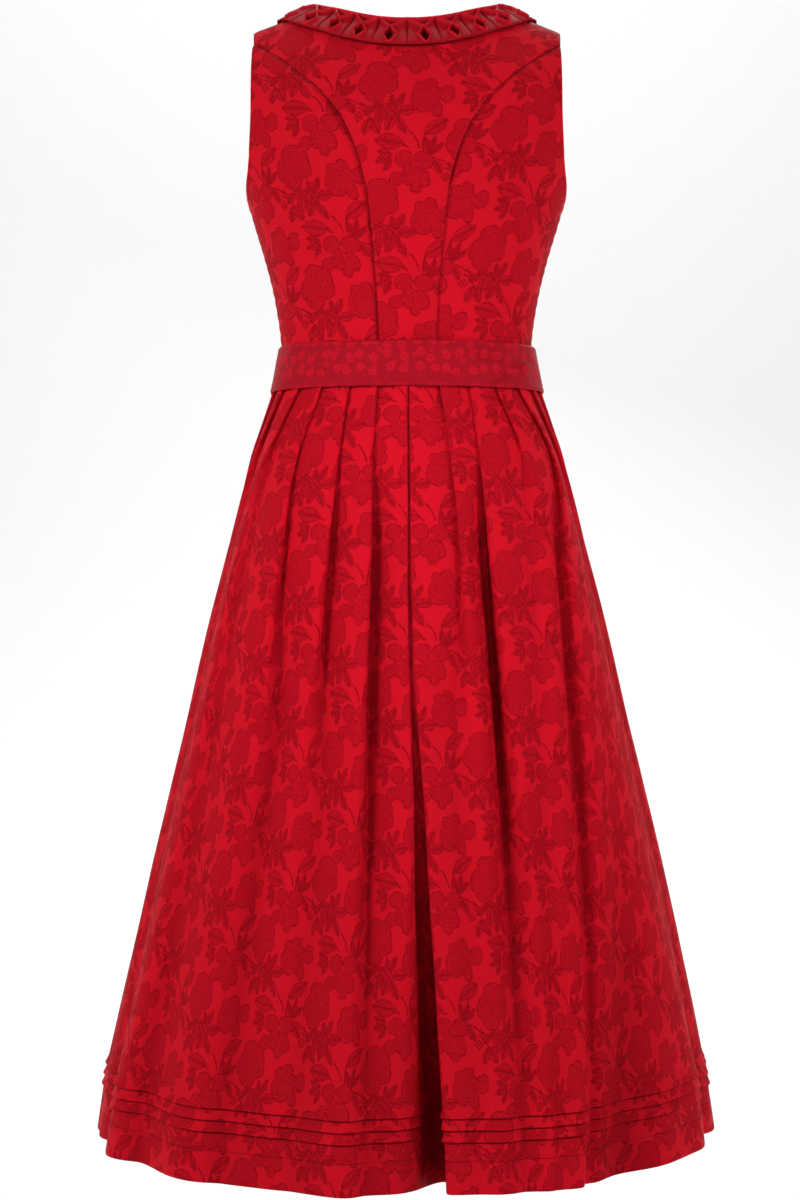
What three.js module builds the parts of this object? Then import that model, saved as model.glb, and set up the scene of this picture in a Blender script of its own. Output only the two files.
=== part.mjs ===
import * as THREE from "three";

// Sleeveless dirndl with its apron, in the hollow form it has when worn.
// Millimetres, +Z up. The back faces -Y, and the origin is midway between the shoulders.

// Driving sizes
const clothThick = 1.2;
const seamGap = 0.3;
const layerGap = 0.4;
const formPower = 2.12;
const archBase = -140;
const archLength = 220;
const waistSeam = -358;
const hemZ = -1125;
const underarmZ = -190;
const bandTop = -333.5;
const bandBottom = -378.5;
const tieBackOut = 3.1;
const waistbandOut = 4.4;
const tieFrontOut = 6;
const apronLength = 700;
const apronHalfTurn = 64;
const apronGathers = 11;
const trimWidth = 29;
const trimRaise = 3.6;
const trimPitch = 26;
const tuckRaise = 1.4;

// Colours and sheen
const damask = { color: 0xb81828, roughness: 0.45 };
const satin = { color: 0x9c1420, roughness: 0.38 };
const tieCloth = { color: 0xa81a2a, roughness: 0.42 };
const buttonMetal = { color: 0x8d8a86, roughness: 0.35, metalness: 0.9 };

const dress = new THREE.Group();

// Rings of the bodice form: height from the arch line up over the shoulder, half width and two depths
const bodiceRings = [
  { rise: -225, half: 126, back: 91, front: 94 },
  { rise: -193, half: 123.5, back: 90, front: 94 },
  { rise: -145, half: 130, back: 97, front: 104 },
  { rise: -105, half: 140, back: 104, front: 120 },
  { rise: -65, half: 152, back: 109, front: 134 },
  { rise: -25, half: 163, back: 111, front: 137 },
  { rise: 0, half: 168, back: 110, front: 132 },
  { rise: 60, half: 178, back: 107, front: 118 },
  { rise: 130, half: 186, back: 99, front: 103 },
  { rise: 220, half: 190, back: 94, front: 94 },
];

// Rings of the skirt form
const skirtRings = [
  { z: -358, half: 125.5, back: 91, front: 94 },
  { z: -385, half: 134.5, back: 99, front: 102 },
  { z: -465, half: 159, back: 122, front: 122 },
  { z: -585, half: 191.5, back: 153, front: 151 },
  { z: -705, half: 220, back: 180, front: 177 },
  { z: -825, half: 248, back: 206, front: 202 },
  { z: -945, half: 274.5, back: 231, front: 226 },
  { z: -1065, half: 299, back: 256, front: 249 },
  { z: -1125, half: 307, back: 267, front: 258 },
];

// Princess seam on the back, from the waist to the armhole
const backSeam = [
  { x: 28.5, z: -358 },
  { x: 28.8, z: -320 },
  { x: 31, z: -278 },
  { x: 35.6, z: -229 },
  { x: 39.2, z: -196 },
  { x: 44.2, z: -170 },
  { x: 54.3, z: -139 },
  { x: 65.6, z: -117 },
  { x: 82.8, z: -94 },
  { x: 108.5, z: -70 },
  { x: 130, z: -52 },
  { x: 151.5, z: -38 },
];

// Princess seam on the front, over the bust to the armhole
const frontSeam = [
  { x: 50, z: -358 },
  { x: 56, z: -318 },
  { x: 66, z: -276 },
  { x: 76, z: -238 },
  { x: 84, z: -205 },
  { x: 90, z: -180 },
  { x: 97, z: -160 },
  { x: 106, z: -143 },
  { x: 117, z: -130 },
  { x: 129, z: -120 },
  { x: 139, z: -113 },
  { x: 147.5, z: -108 },
];

// Armhole edge below the seam, down to the underarm
const backArmhole = [
  { x: 151.5, z: -38 },
  { x: 152.5, z: -70 },
  { x: 152.5, z: -105 },
  { x: 153.5, z: -135 },
  { x: 155, z: -160 },
];
const frontArmhole = [
  { x: 147.5, z: -108 },
  { x: 149, z: -128 },
  { x: 152, z: -150 },
  { x: 155, z: -168 },
];
const frontArmholeTop = [
  { x: 147.5, z: -108 },
  { x: 147, z: -75 },
  { x: 149.5, z: -42 },
];
const shoulderTipX = 153;

// Neck edge on the back and front, from the centre out to the shoulder seam
const backNeck = [
  { x: 0, z: -20 },
  { x: 24, z: -18.5 },
  { x: 46, z: -13.5 },
  { x: 66, z: -7 },
  { x: 82, z: -1.5 },
];
const frontNeck = [
  { x: 0, z: -172 },
  { x: 28, z: -169 },
  { x: 54, z: -158 },
  { x: 74, z: -137 },
  { x: 87, z: -108 },
  { x: 95, z: -76 },
  { x: 98, z: -44 },
  { x: 97.5, z: -16 },
];
const neckPointX = 96;

// Height of the shoulder line above the origin at a distance from the centre
function ridge(x) {
  const distance = Math.abs(x);
  return 18 - 12 * (distance / 77) ** 1.3 - (distance > 95 ? 0.16 * (distance - 95) : 0);
}

// Value of a column between the rows of a table, with no sharp bends
function column(rows, key, at, name) {
  let i = 0;
  const rising = rows[rows.length - 1][key] > rows[0][key];
  while (i < rows.length - 2 && (rising ? at > rows[i + 1][key] : at < rows[i + 1][key])) i += 1;
  const a = rows[i];
  const b = rows[i + 1];
  const slope = (k) => {
    const p = rows[Math.max(0, k - 1)];
    const q = rows[Math.min(rows.length - 1, k + 1)];
    return (q[name] - p[name]) / (q[key] - p[key]);
  };
  const span = b[key] - a[key];
  const t = THREE.MathUtils.clamp((at - a[key]) / span, 0, 1);
  const h = t * t * (3 - 2 * t);
  const easeIn = t * (1 - t) * (1 - t) * span * slope(i);
  const easeOut = t * t * (t - 1) * span * slope(i + 1);
  return a[name] * (1 - h) + b[name] * h + easeIn + easeOut;
}

function power(value, exponent) {
  return Math.sign(value) * Math.abs(value) ** exponent;
}

// Point on the bodice form: turn in degrees from the centre back, rise from the arch line
function bodicePoint(turn, rise) {
  const angle = THREE.MathUtils.degToRad(turn);
  const sideways = power(Math.sin(angle), 2 / formPower);
  const forward = -power(Math.cos(angle), 2 / formPower);
  const x = column(bodiceRings, "rise", rise, "half") * sideways;
  const depth = column(bodiceRings, "rise", rise, forward < 0 ? "back" : "front");
  if (rise <= 0) return new THREE.Vector3(x, depth * forward, archBase + rise);
  const lift = (rise / archLength) * (Math.PI / 2);
  const z = archBase + (ridge(x) - archBase) * Math.sin(lift);
  return new THREE.Vector3(x, depth * forward * Math.cos(lift), z);
}

// Place on the bodice form of a point given by its width and height
function bodicePlace(x, z, front) {
  const share = THREE.MathUtils.clamp((z - archBase) / (ridge(x) - archBase), -1, 1);
  const rise = z < archBase ? z - archBase : (Math.asin(share) / (Math.PI / 2)) * archLength;
  const reach = Math.min(1, Math.abs(x) / column(bodiceRings, "rise", rise, "half"));
  const turn = THREE.MathUtils.radToDeg(Math.asin(reach ** (formPower / 2)));
  return { turn: Math.sign(x || 1) * (front ? 180 - turn : turn), rise };
}

function bodiceNormal(turn, rise) {
  const across = bodicePoint(turn + 0.4, rise).sub(bodicePoint(turn - 0.4, rise));
  const top = Math.min(rise + 0.6, archLength);
  const up = bodicePoint(turn, top).sub(bodicePoint(turn, top - 1.2));
  return across.cross(up).normalize();
}

// Places along a table of points, at even distances on the form
function trace(places, count) {
  const points = places.map((p) => bodicePoint(p.turn, p.rise));
  const reach = [0];
  for (let i = 1; i < points.length; i += 1) reach.push(reach[i - 1] + points[i].distanceTo(points[i - 1]));
  const rows = places.map((p, i) => ({ reach: reach[i], turn: p.turn, rise: p.rise }));
  const total = reach[reach.length - 1];
  return Array.from({ length: count + 1 }, (_, i) => {
    const at = (total * i) / count;
    return { turn: column(rows, "reach", at, "turn"), rise: column(rows, "reach", at, "rise") };
  });
}

// Grid of places that fills the area between four edges
function patch(left, right, bottom, top) {
  const rows = left.length;
  const columns = bottom.length;
  const grid = [];
  for (let j = 0; j < rows; j += 1) {
    const v = j / (rows - 1);
    const line = [];
    for (let i = 0; i < columns; i += 1) {
      const u = i / (columns - 1);
      const mix = (name) =>
        (1 - u) * left[j][name] + u * right[j][name] + (1 - v) * bottom[i][name] + v * top[i][name] -
        (1 - u) * (1 - v) * bottom[0][name] - u * (1 - v) * bottom[columns - 1][name] -
        (1 - u) * v * top[0][name] - u * v * top[columns - 1][name];
      line.push({ turn: mix("turn"), rise: mix("rise") });
    }
    grid.push(line);
  }
  return evened(grid, 16);
}

// Grid whose inner places have been moved to the middle of their neighbours a number of times
function evened(grid, rounds) {
  let even = grid;
  for (let round = 0; round < rounds; round += 1) {
    const before = even;
    const middle = (j, i, name) => {
      const around = [before[j - 1][i], before[j + 1][i], before[j][i - 1], before[j][i + 1]];
      return around.reduce((sum, place) => sum + place[name], 0) / around.length;
    };
    even = before.map((line, j) => line.map((p, i) => {
      const onEdge = j === 0 || i === 0 || j === before.length - 1 || i === line.length - 1;
      return onEdge ? p : { turn: middle(j, i, "turn"), rise: middle(j, i, "rise") };
    }));
  }
  return even;
}

// Closed wall between an inner and an outer grid of points
function wall(inner, outer) {
  const rows = inner.length;
  const columns = inner[0].length;
  const positions = [];
  for (const p of [...inner.flat(), ...outer.flat()]) positions.push(p.x, p.y, p.z);
  const id = (layer, j, i) => layer * rows * columns + j * columns + i;
  const index = [];
  const quad = (a, b, c, d) => index.push(a, b, c, a, c, d);
  for (let j = 0; j < rows - 1; j += 1) {
    for (let i = 0; i < columns - 1; i += 1) {
      const falling = outer[j][i + 1].distanceTo(outer[j + 1][i]);
      const rising = outer[j][i].distanceTo(outer[j + 1][i + 1]) <= falling;
      if (rising) quad(id(1, j, i), id(1, j, i + 1), id(1, j + 1, i + 1), id(1, j + 1, i));
      else quad(id(1, j, i + 1), id(1, j + 1, i + 1), id(1, j + 1, i), id(1, j, i));
      if (rising) quad(id(0, j, i), id(0, j + 1, i), id(0, j + 1, i + 1), id(0, j, i + 1));
      else quad(id(0, j, i + 1), id(0, j, i), id(0, j + 1, i), id(0, j + 1, i + 1));
    }
  }
  for (let i = 0; i < columns - 1; i += 1) {
    quad(id(0, 0, i), id(0, 0, i + 1), id(1, 0, i + 1), id(1, 0, i));
    quad(id(0, rows - 1, i + 1), id(0, rows - 1, i), id(1, rows - 1, i), id(1, rows - 1, i + 1));
  }
  for (let j = 0; j < rows - 1; j += 1) {
    quad(id(0, j + 1, 0), id(0, j, 0), id(1, j, 0), id(1, j + 1, 0));
    quad(id(0, j, columns - 1), id(0, j + 1, columns - 1), id(1, j + 1, columns - 1), id(1, j, columns - 1));
  }
  return closedGeometry(positions, index);
}

// Geometry whose faces point outwards whichever way its grid runs
function closedGeometry(positions, index) {
  const corner = (k) => new THREE.Vector3().fromArray(positions, 3 * k);
  let volume = 0;
  for (let k = 0; k < index.length; k += 3) {
    volume += corner(index[k]).dot(corner(index[k + 1]).cross(corner(index[k + 2])));
  }
  if (volume < 0) index.reverse();
  const geometry = new THREE.BufferGeometry();
  geometry.setAttribute("position", new THREE.Float32BufferAttribute(positions, 3));
  geometry.setIndex(index);
  return geometry;
}

function addPiece(name, geometry, look) {
  const mesh = new THREE.Mesh(geometry, new THREE.MeshStandardMaterial({ metalness: 0, ...look }));
  mesh.name = name;
  dress.add(mesh);
  return mesh;
}

// Grid of points drawn back from its outer edges, half a seam gap on each chosen side
function drawBack(points, sides) {
  const half = seamGap / 2;
  const pull = (p, towards) => p.clone().add(towards.clone().sub(p).setLength(half));
  const last = points.length - 1;
  const end = points[0].length - 1;
  let grid = points.map((line) => line.map((p) => p.clone()));
  if (sides.left) grid = grid.map((line) => line.map((p, i) => (i === 0 ? pull(p, line[1]) : p)));
  if (sides.right) grid = grid.map((line) => line.map((p, i) => (i === end ? pull(p, line[end - 1]) : p)));
  if (sides.bottom) grid[0] = grid[0].map((p, i) => pull(p, grid[1][i]));
  if (sides.top) grid[last] = grid[last].map((p, i) => pull(p, grid[last - 1][i]));
  return grid;
}

// Wall over a grid of places on the bodice form, between two distances from it
function bodiceWall(places, from, to, sides) {
  const points = drawBack(places.map((line) => line.map((p) => bodicePoint(p.turn, p.rise))), sides);
  const normals = places.map((line) => line.map((p) => bodiceNormal(p.turn, p.rise)));
  const layer = (distance) =>
    points.map((line, j) => line.map((p, i) => p.clone().addScaledVector(normals[j][i], distance(j, i))));
  return wall(layer(() => from), layer(to));
}

const allSides = { left: true, right: true, bottom: true, top: true };
const seamRows = 9;
const mirror = (places, side) => places.map((p) => ({ turn: side * p.turn, rise: p.rise }));
const placesOf = (table, front) => table.map((p) => bodicePlace(p.x, p.z, front));

// Edges that neighbouring panels share
const waistRise = waistSeam - archBase;
const underarm = { turn: 90, rise: underarmZ - archBase };
const sideSeam = trace([{ turn: 90, rise: waistRise }, { turn: 90, rise: -150 }, underarm], seamRows);
const backSeamLine = trace(placesOf(backSeam, false), seamRows);
const frontSeamLine = trace(placesOf(frontSeam, true), seamRows);
const backTip = { ...bodicePlace(shoulderTipX, ridge(shoulderTipX), false), rise: archLength };
const neckPoint = { ...bodicePlace(neckPointX, ridge(neckPointX), false), rise: archLength };
const frontOf = (p) => ({ turn: 180 - p.turn, rise: p.rise });
const shoulderLine = trace([backTip, neckPoint], 4);
const backNeckLine = trace([neckPoint, ...placesOf(backNeck, false).reverse()], 5);
const neckRows = 6;
const armholeRows = 3;
const frontNeckLine = trace([frontOf(neckPoint), ...placesOf(frontNeck, true).reverse()], neckRows);
const frontNeckLow = frontNeckLine[frontNeckLine.length - 1];
const centreFront = trace([{ turn: 180, rise: waistRise }, frontNeckLow], seamRows + armholeRows - neckRows);

function waistLine(from, to, count) {
  return Array.from({ length: count + 1 }, (_, i) => ({
    turn: THREE.MathUtils.lerp(from, to, i / count),
    rise: waistRise,
  }));
}

// Back centre panel, from seam to seam and up over both shoulders
{
  const tip = mirror([backTip], -1);
  const left = [...mirror(backSeamLine, -1), ...tip];
  const right = [...backSeamLine, backTip];
  const half = [...shoulderLine, ...backNeckLine.slice(1)];
  const top = [...mirror(half, -1), ...half.slice(0, -1).reverse()];
  const bottom = waistLine(left[0].turn, right[0].turn, top.length - 1);
  addPiece("bodice_back_centre", bodiceWall(patch(left, right, bottom, top), -clothThick / 2,
    () => clothThick / 2, allSides), damask);
}

// Side panels and front panels, right then left
for (const side of [1, -1]) {
  const tag = side > 0 ? "r" : "l";
  const line = (places) => mirror(places, side);
  const cloth = () => clothThick / 2;

  const backTop = trace([...placesOf(backArmhole, false), underarm], 6);
  const backBottom = waistLine(backSeamLine[0].turn, 90, 6);
  const backSide = patch(line(backSeamLine), line(sideSeam), line(backBottom), line(backTop));
  addPiece(`bodice_back_side_${tag}`, bodiceWall(backSide, -clothThick / 2, cloth, allSides), damask);

  const frontTop = trace([underarm, ...placesOf(frontArmhole, true).reverse()], 6);
  const frontBottom = waistLine(90, frontSeamLine[0].turn, 6);
  const frontSide = patch(line(sideSeam), line(frontSeamLine), line(frontBottom), line(frontTop));
  addPiece(`bodice_front_side_${tag}`, bodiceWall(frontSide, -clothThick / 2, cloth, allSides), damask);

  const armholeTop = trace([...placesOf(frontArmholeTop, true), frontOf(backTip)], armholeRows);
  const outer = [...frontSeamLine, ...armholeTop.slice(1)];
  const neckUp = [...frontNeckLine].reverse();
  const inner = [...centreFront, ...neckUp.slice(1)];
  const chestBottom = waistLine(frontSeamLine[0].turn, 180, 4);
  const chest = patch(line(outer), line(inner), line(chestBottom), line(shoulderLine.map(frontOf)));
  addPiece(`bodice_front_${tag}`, bodiceWall(chest, -clothThick / 2, cloth, allSides), damask);
}

// Place reached from another by going a short way along the form
function step(place, direction, distance) {
  const here = bodicePoint(place.turn, place.rise);
  const down = place.rise > archLength - 2 ? -1 : 1;
  const perTurn = bodicePoint(place.turn + 0.5, place.rise).sub(here).multiplyScalar(2);
  const perRise = bodicePoint(place.turn, place.rise + down).sub(here).multiplyScalar(down);
  const move = direction.clone().setLength(distance);
  const turnTurn = perTurn.dot(perTurn);
  const riseRise = perRise.dot(perRise);
  const turnRise = perTurn.dot(perRise);
  const alongTurn = move.dot(perTurn);
  const alongRise = move.dot(perRise);
  const area = turnTurn * riseRise - turnRise * turnRise;
  return {
    turn: place.turn + (alongTurn * riseRise - alongRise * turnRise) / area,
    rise: place.rise + (alongRise * turnTurn - alongTurn * turnRise) / area,
  };
}

// Ruched trim along the neck edge: a plain-backed strip whose face is raised in diamonds
const cellsAcross = 4;
function addTrim(name, edge, side) {
  const rowsDown = 4;
  const points = edge.map((p) => bodicePoint(p.turn, p.rise));
  const stepsPerRow = 3;
  const grid = Array.from({ length: rowsDown + 1 }, (_, k) =>
    edge.map((p, i) => {
      const along = points[Math.min(points.length - 1, i + 1)].clone().sub(points[Math.max(0, i - 1)]);
      let place = { ...p };
      for (let s = 0; s < k * stepsPerRow; s += 1) {
        const down = bodiceNormal(place.turn, place.rise).cross(along).multiplyScalar(side);
        place = step(place, down, trimWidth / rowsDown / stepsPerRow);
      }
      if (p.rise > archLength - 0.1) place.rise = archLength;
      if (Math.abs(p.turn) > 179.9) place.turn = p.turn;
      return place;
    }));
  const base = clothThick / 2 + layerGap;
  const face = (k, i) => {
    const pinched = i % cellsAcross === 0;
    const middle = i % cellsAcross === cellsAcross / 2;
    const edgeRow = k === 0 || k === rowsDown;
    if (edgeRow) return base + clothThick;
    if (pinched) return base + clothThick + (k === 2 ? 0.4 : 1.8);
    return base + clothThick + (middle === (k === 2) ? trimRaise : trimRaise * 0.55);
  };
  addPiece(name, bodiceWall(grid, base, face, { left: true, right: true }), satin);
}

{
  const cells = (places) => {
    const points = places.map((p) => bodicePoint(p.turn, p.rise));
    let reach = 0;
    for (let i = 1; i < points.length; i += 1) reach += points[i].distanceTo(points[i - 1]);
    return cellsAcross * Math.round(reach / trimPitch);
  };
  const backHalf = [neckPoint, ...placesOf(backNeck, false).reverse()];
  const halfLine = trace(backHalf, cells(backHalf));
  const backLine = [...mirror(halfLine, -1), ...halfLine.slice(0, -1).reverse()];
  addTrim("neckline_trim_back", backLine, -1);
  for (const side of [1, -1]) {
    const frontHalf = [frontOf(neckPoint), ...placesOf(frontNeck, true).reverse()];
    const frontLine = mirror(trace(frontHalf, cells(frontHalf)), side);
    addTrim(`neckline_trim_front_${side > 0 ? "r" : "l"}`, frontLine, -side);
  }
}

// Buttons down the centre front, on the edge of the right front
{
  const count = 7;
  const first = -209;
  const pitch = 19;
  const radius = 5.5;
  const profile = [[0, 0], [radius * 0.8, 0], [radius, 1.2], [radius * 0.8, 2.4], [0, 3]];
  const button = new THREE.LatheGeometry(profile.map(([r, h]) => new THREE.Vector2(r, h)), 12);
  const fromEdge = 9;
  const line = centreFront.map((p) => bodicePoint(p.turn, p.rise));
  for (let k = 0; k < count; k += 1) {
    const z = first - k * pitch;
    const above = line.findIndex((p) => p.z > z);
    const low = line[above - 1];
    const high = line[above];
    const seat = low.clone().lerp(high, (z - low.z) / (high.z - low.z)).setX(fromEdge);
    const normal = high.clone().sub(low).cross(new THREE.Vector3(1, 0, 0)).normalize();
    if (normal.y < 0) normal.negate();
    const mesh = addPiece(`button_${k + 1}`, button.clone(), buttonMetal);
    mesh.position.copy(seat).addScaledVector(normal, clothThick / 2 + seamGap);
    mesh.quaternion.setFromUnitVectors(new THREE.Vector3(0, 1, 0), normal);
  }
}

// Point on an oval ring, moved out along the ring's own normal
function ringPoint(half, depth, turn, z, out) {
  const oval = (t) => {
    const angle = THREE.MathUtils.degToRad(t);
    const forward = -power(Math.cos(angle), 2 / formPower);
    return new THREE.Vector3(half * power(Math.sin(angle), 2 / formPower), depth(forward) * forward, z);
  };
  const along = oval(turn + 0.5).sub(oval(turn - 0.5));
  const normal = new THREE.Vector3(along.y, -along.x, 0).normalize();
  return oval(turn).addScaledVector(normal, out);
}

// Pleats, counted from the apron to the centre back and on round: turn in degrees at five heights, the drops
// below the waist seam where the fold stops lapping and where it has smoothed out, and how far the cloth falls
// in beside it at the thigh, the knee and the hem
const pleatDrops = { waist: 20, hip: 90, thigh: 190, knee: 350, hem: 767 };
const leftPleats = [
  { waist: 108, hip: 111, thigh: 113, knee: 114, hem: 114, open: 70, gone: 140, fall: [2, 3, 3] },
  { waist: 94, hip: 99, thigh: 102, knee: 103, hem: 103, open: 90, gone: 180, fall: [2, 3, 3] },
  { waist: 80, hip: 88, thigh: 91, knee: 92, hem: 91, open: 80, gone: 150, fall: [2, 3, 3] },
  { waist: 66, hip: 76, thigh: 79, knee: 79, hem: 78, open: 90, gone: 170, fall: [3, 5, 4] },
  { waist: 51.5, hip: 61.5, thigh: 63.5, knee: 61, hem: 59, open: 80, gone: 150, fall: [5, 7, 5] },
  { waist: 37.5, hip: 42.5, thigh: 41, knee: 37, hem: 36, open: 210, gone: 350, fall: [6, 12, 5] },
  { waist: 24, hip: 24, thigh: 23.7, knee: 22.8, hem: 21.5, open: 260, gone: 400, fall: [10, 11, 3] },
  { waist: 11.8, hip: 11.3, thigh: 9.9, knee: 9.2, hem: 8, open: 400, gone: 900, fall: [13, 16, 12] },
];
const rightPleats = [
  { waist: 12.8, hip: 14.6, thigh: 15.1, knee: 14, hem: 13, open: 220, gone: 350, fall: [4, 9, 5] },
  { waist: 25.8, hip: 25.6, thigh: 24.8, knee: 24.3, hem: 21.5, open: 330, gone: 520, fall: [18, 24, 6] },
  { waist: 39.3, hip: 46.5, thigh: 43, knee: 36, hem: 27, open: 80, gone: 150, fall: [4, 4, 2] },
  { waist: 54, hip: 67.5, thigh: 57, knee: 48, hem: 33, open: 160, gone: 900, fall: [9, 12, 10] },
  { waist: 67, hip: 79, thigh: 80, knee: 79, hem: 77, open: 90, gone: 170, fall: [3, 4, 3] },
  { waist: 80, hip: 89, thigh: 92, knee: 92, hem: 91, open: 80, gone: 160, fall: [3, 4, 3] },
  { waist: 94, hip: 99, thigh: 102, knee: 103, hem: 103, open: 90, gone: 180, fall: [2, 3, 3] },
  { waist: 108, hip: 111, thigh: 113, knee: 114, hem: 114, open: 70, gone: 140, fall: [2, 3, 3] },
];
const pleats = [
  ...leftPleats.map((pleat) => ({ side: -1, ...pleat })),
  ...rightPleats.map((pleat) => ({ side: 1, ...pleat })),
];

// Box pleat at the centre back: its turn by height, and its corners closed at the top and open at the hem
const boxPleatTurn = [
  { drop: 0, turn: 0.3 },
  { drop: 290, turn: 0.8 },
  { drop: 410, turn: 2.4 },
  { drop: 590, turn: 3.6 },
  { drop: 767, turn: 5 },
];
const boxPleatCorners = [
  { turn: -0.35, out: 1, hemTurn: -5.4, hemOut: -11 },
  { turn: -0.35, out: 0.15, hemTurn: -3.6, hemOut: -27 },
  { turn: -4.2, out: -0.15, hemTurn: -1.8, hemOut: -47 },
  { turn: -4.2, out: -1, hemTurn: 0.4, hemOut: -64 },
  { turn: 0, out: -1, hemTurn: 1.9, hemOut: -64 },
  { turn: 4.2, out: -1, hemTurn: 3.4, hemOut: -60 },
  { turn: 4.2, out: -0.15, hemTurn: 3, hemOut: -36 },
  { turn: 0.35, out: 0.15, hemTurn: 1.2, hemOut: -18 },
  { turn: 0.35, out: 1, hemTurn: 0.2, hemOut: -6 },
];
const boxPleatOpens = 300;

// Soft folds lower down: where each starts, its turn there and at the hem, its width and how far out it is
const softFolds = [
  { from: 350, turn: -9.5, hemTurn: -9, width: 5, out: 11 },
  { from: 330, turn: -27, hemTurn: -26, width: 8, out: -8 },
  { from: 300, turn: -43, hemTurn: -42, width: 7, out: 7 },
  { from: 420, turn: -54, hemTurn: -53, width: 5, out: -6 },
  { from: 380, turn: -64, hemTurn: -66, width: 5, out: 11 },
  { from: 450, turn: -76, hemTurn: -77, width: 5, out: -14 },
  { from: 300, turn: 50, hemTurn: 29, width: 6, out: 7 },
  { from: 300, turn: 56, hemTurn: 37, width: 5, out: -15 },
  { from: 350, turn: 60, hemTurn: 50, width: 6, out: 5 },
  { from: 400, turn: 67, hemTurn: 63, width: 5, out: 9 },
  { from: 480, turn: 78, hemTurn: 74, width: 5, out: -12 },
  { from: 260, turn: 104, hemTurn: 105, width: 8, out: -9 },
  { from: 300, turn: 122, hemTurn: 122, width: 8, out: 9 },
  { from: 340, turn: 139, hemTurn: 140, width: 8, out: -8 },
  { from: 260, turn: 158, hemTurn: 157, width: 8, out: 8 },
  { from: 300, turn: 175, hemTurn: 174, width: 8, out: -7 },
  { from: 280, turn: -168, hemTurn: -169, width: 8, out: 8 },
  { from: 330, turn: -150, hemTurn: -151, width: 8, out: -9 },
  { from: 260, turn: -132, hemTurn: -133, width: 8, out: 9 },
  { from: 320, turn: -114, hemTurn: -114, width: 8, out: -8 },
  { from: 340, turn: -98, hemTurn: -97, width: 7, out: 6 },
];

const skirtLength = waistSeam - hemZ;

function softFoldOut(turn, drop) {
  return softFolds.reduce((sum, fold) => {
    const grown = THREE.MathUtils.smoothstep(drop, fold.from, skirtLength + 120);
    const centre = THREE.MathUtils.lerp(fold.turn, fold.hemTurn, grown);
    let away = turn - centre;
    if (away > 180) away -= 360;
    if (away < -180) away += 360;
    return sum + fold.out * 1.25 * grown * Math.exp(-((away / fold.width) ** 2));
  }, 0);
}

// The hem swings a little higher at the sides, more so on the right
function hemLift(turn, drop) {
  const sideways = THREE.MathUtils.smoothstep(Math.abs(turn), 15, 75);
  const frontways = THREE.MathUtils.smoothstep(Math.abs(turn), 95, 180);
  const most = turn > 0 ? 18 : 9;
  return (most * sideways - (most - 5) * frontways) * (drop / skirtLength) ** 1.5;
}

function skirtPoint(turn, drop, out) {
  const z = waistSeam - drop;
  const depth = (forward) => column(skirtRings, "z", z, forward < 0 ? "back" : "front");
  const lifted = z + hemLift(turn, drop);
  return ringPoint(column(skirtRings, "z", z, "half"), depth, turn, lifted, out + softFoldOut(turn, drop));
}

// Half height of a fold's step, and how far it laps under the face beside it, by the drop below the waist
function pleatStep(pleat, drop) {
  const rows = [
    { drop: 0, step: 2.1 },
    { drop: 60, step: 2.4 },
    { drop: Math.max(70, pleat.open), step: 3.2 },
    { drop: Math.max(140, pleat.gone), step: 0.1 },
  ];
  return column(rows, "drop", Math.min(drop, rows[3].drop), "step");
}

function pleatLap(pleat, drop) {
  const most = 9;
  const spread = 20;
  if (drop <= pleat.open) return most * (1 - drop / pleat.open);
  return -spread * Math.min(1, (drop - pleat.open) / (pleat.gone - pleat.open));
}

// Turns of the plain front, where the apron covers it
const frontTurns = [120, 130, 140, 149, 158, 167, 175];

// The skirt's section at a drop below the waist: turns and distances out, from centre front round to itself
function skirtSection(drop) {
  const rowsOf = (p) => Object.entries(pleatDrops).map(([name, at]) => ({ drop: at, turn: p[name] }));
  const radius = (column(skirtRings, "z", waistSeam - drop, "half") +
    column(skirtRings, "z", waistSeam - drop, "back")) / 2;
  const degrees = (mm) => THREE.MathUtils.radToDeg(mm / radius);
  const folded = pleats.map((pleat) => {
    const line = column(rowsOf(pleat), "drop", THREE.MathUtils.clamp(drop, 20, skirtLength), "turn");
    const half = pleatStep(pleat, drop);
    const lap = pleatLap(pleat, drop);
    const under = degrees(Math.max(lap, 0));
    const spread = degrees(Math.max(-lap, 0));
    const level = 0.15 + 0.2 * Math.min(1, Math.max(-lap, 0) / 20);
    const fallen = [0, 0, ...pleat.fall];
    const falls = Object.values(pleatDrops).map((at, i) => ({ drop: at, fall: fallen[i] }));
    const fall = column(falls, "drop", THREE.MathUtils.clamp(drop, 20, skirtLength), "fall");
    const corners = [
      { turn: line + spread / 2, out: half },
      { turn: line + spread / 6, out: level * half - fall * 0.3 },
      { turn: line + under - spread / 6, out: -level * half - fall * 0.8 },
      { turn: line + under - spread / 2, out: -half - fall },
      { turn: line - spread / 2 - degrees(2), out: -0.9 * half - fall },
    ];
    if (pleat.side < 0) return corners.map((c) => ({ turn: -c.turn, out: c.out }));
    return corners.reverse();
  });
  const centre = column(boxPleatTurn, "drop", drop, "turn");
  const open = THREE.MathUtils.clamp((drop - boxPleatOpens) / (skirtLength - boxPleatOpens), 0, 1) ** 1.2;
  const narrowed = drop < boxPleatOpens ? 125 / radius : 0.62;
  const box = boxPleatCorners.map((c) => ({
    turn: centre + THREE.MathUtils.lerp(c.turn * narrowed, c.hemTurn, open),
    out: THREE.MathUtils.lerp(c.out * 2.4, c.hemOut, open),
  }));
  const plain = frontTurns.map((turn) => ({ turn, out: 0 }));
  const plainLeft = plain.map((p) => ({ turn: -p.turn, out: 0 })).reverse();
  const half = pleats.length / 2;
  return [
    { turn: -180, out: 0 }, ...plainLeft, ...folded.slice(0, half).flat(),
    ...box, ...folded.slice(half).flat(), ...plain, { turn: 180, out: 0 },
  ];
}

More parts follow.
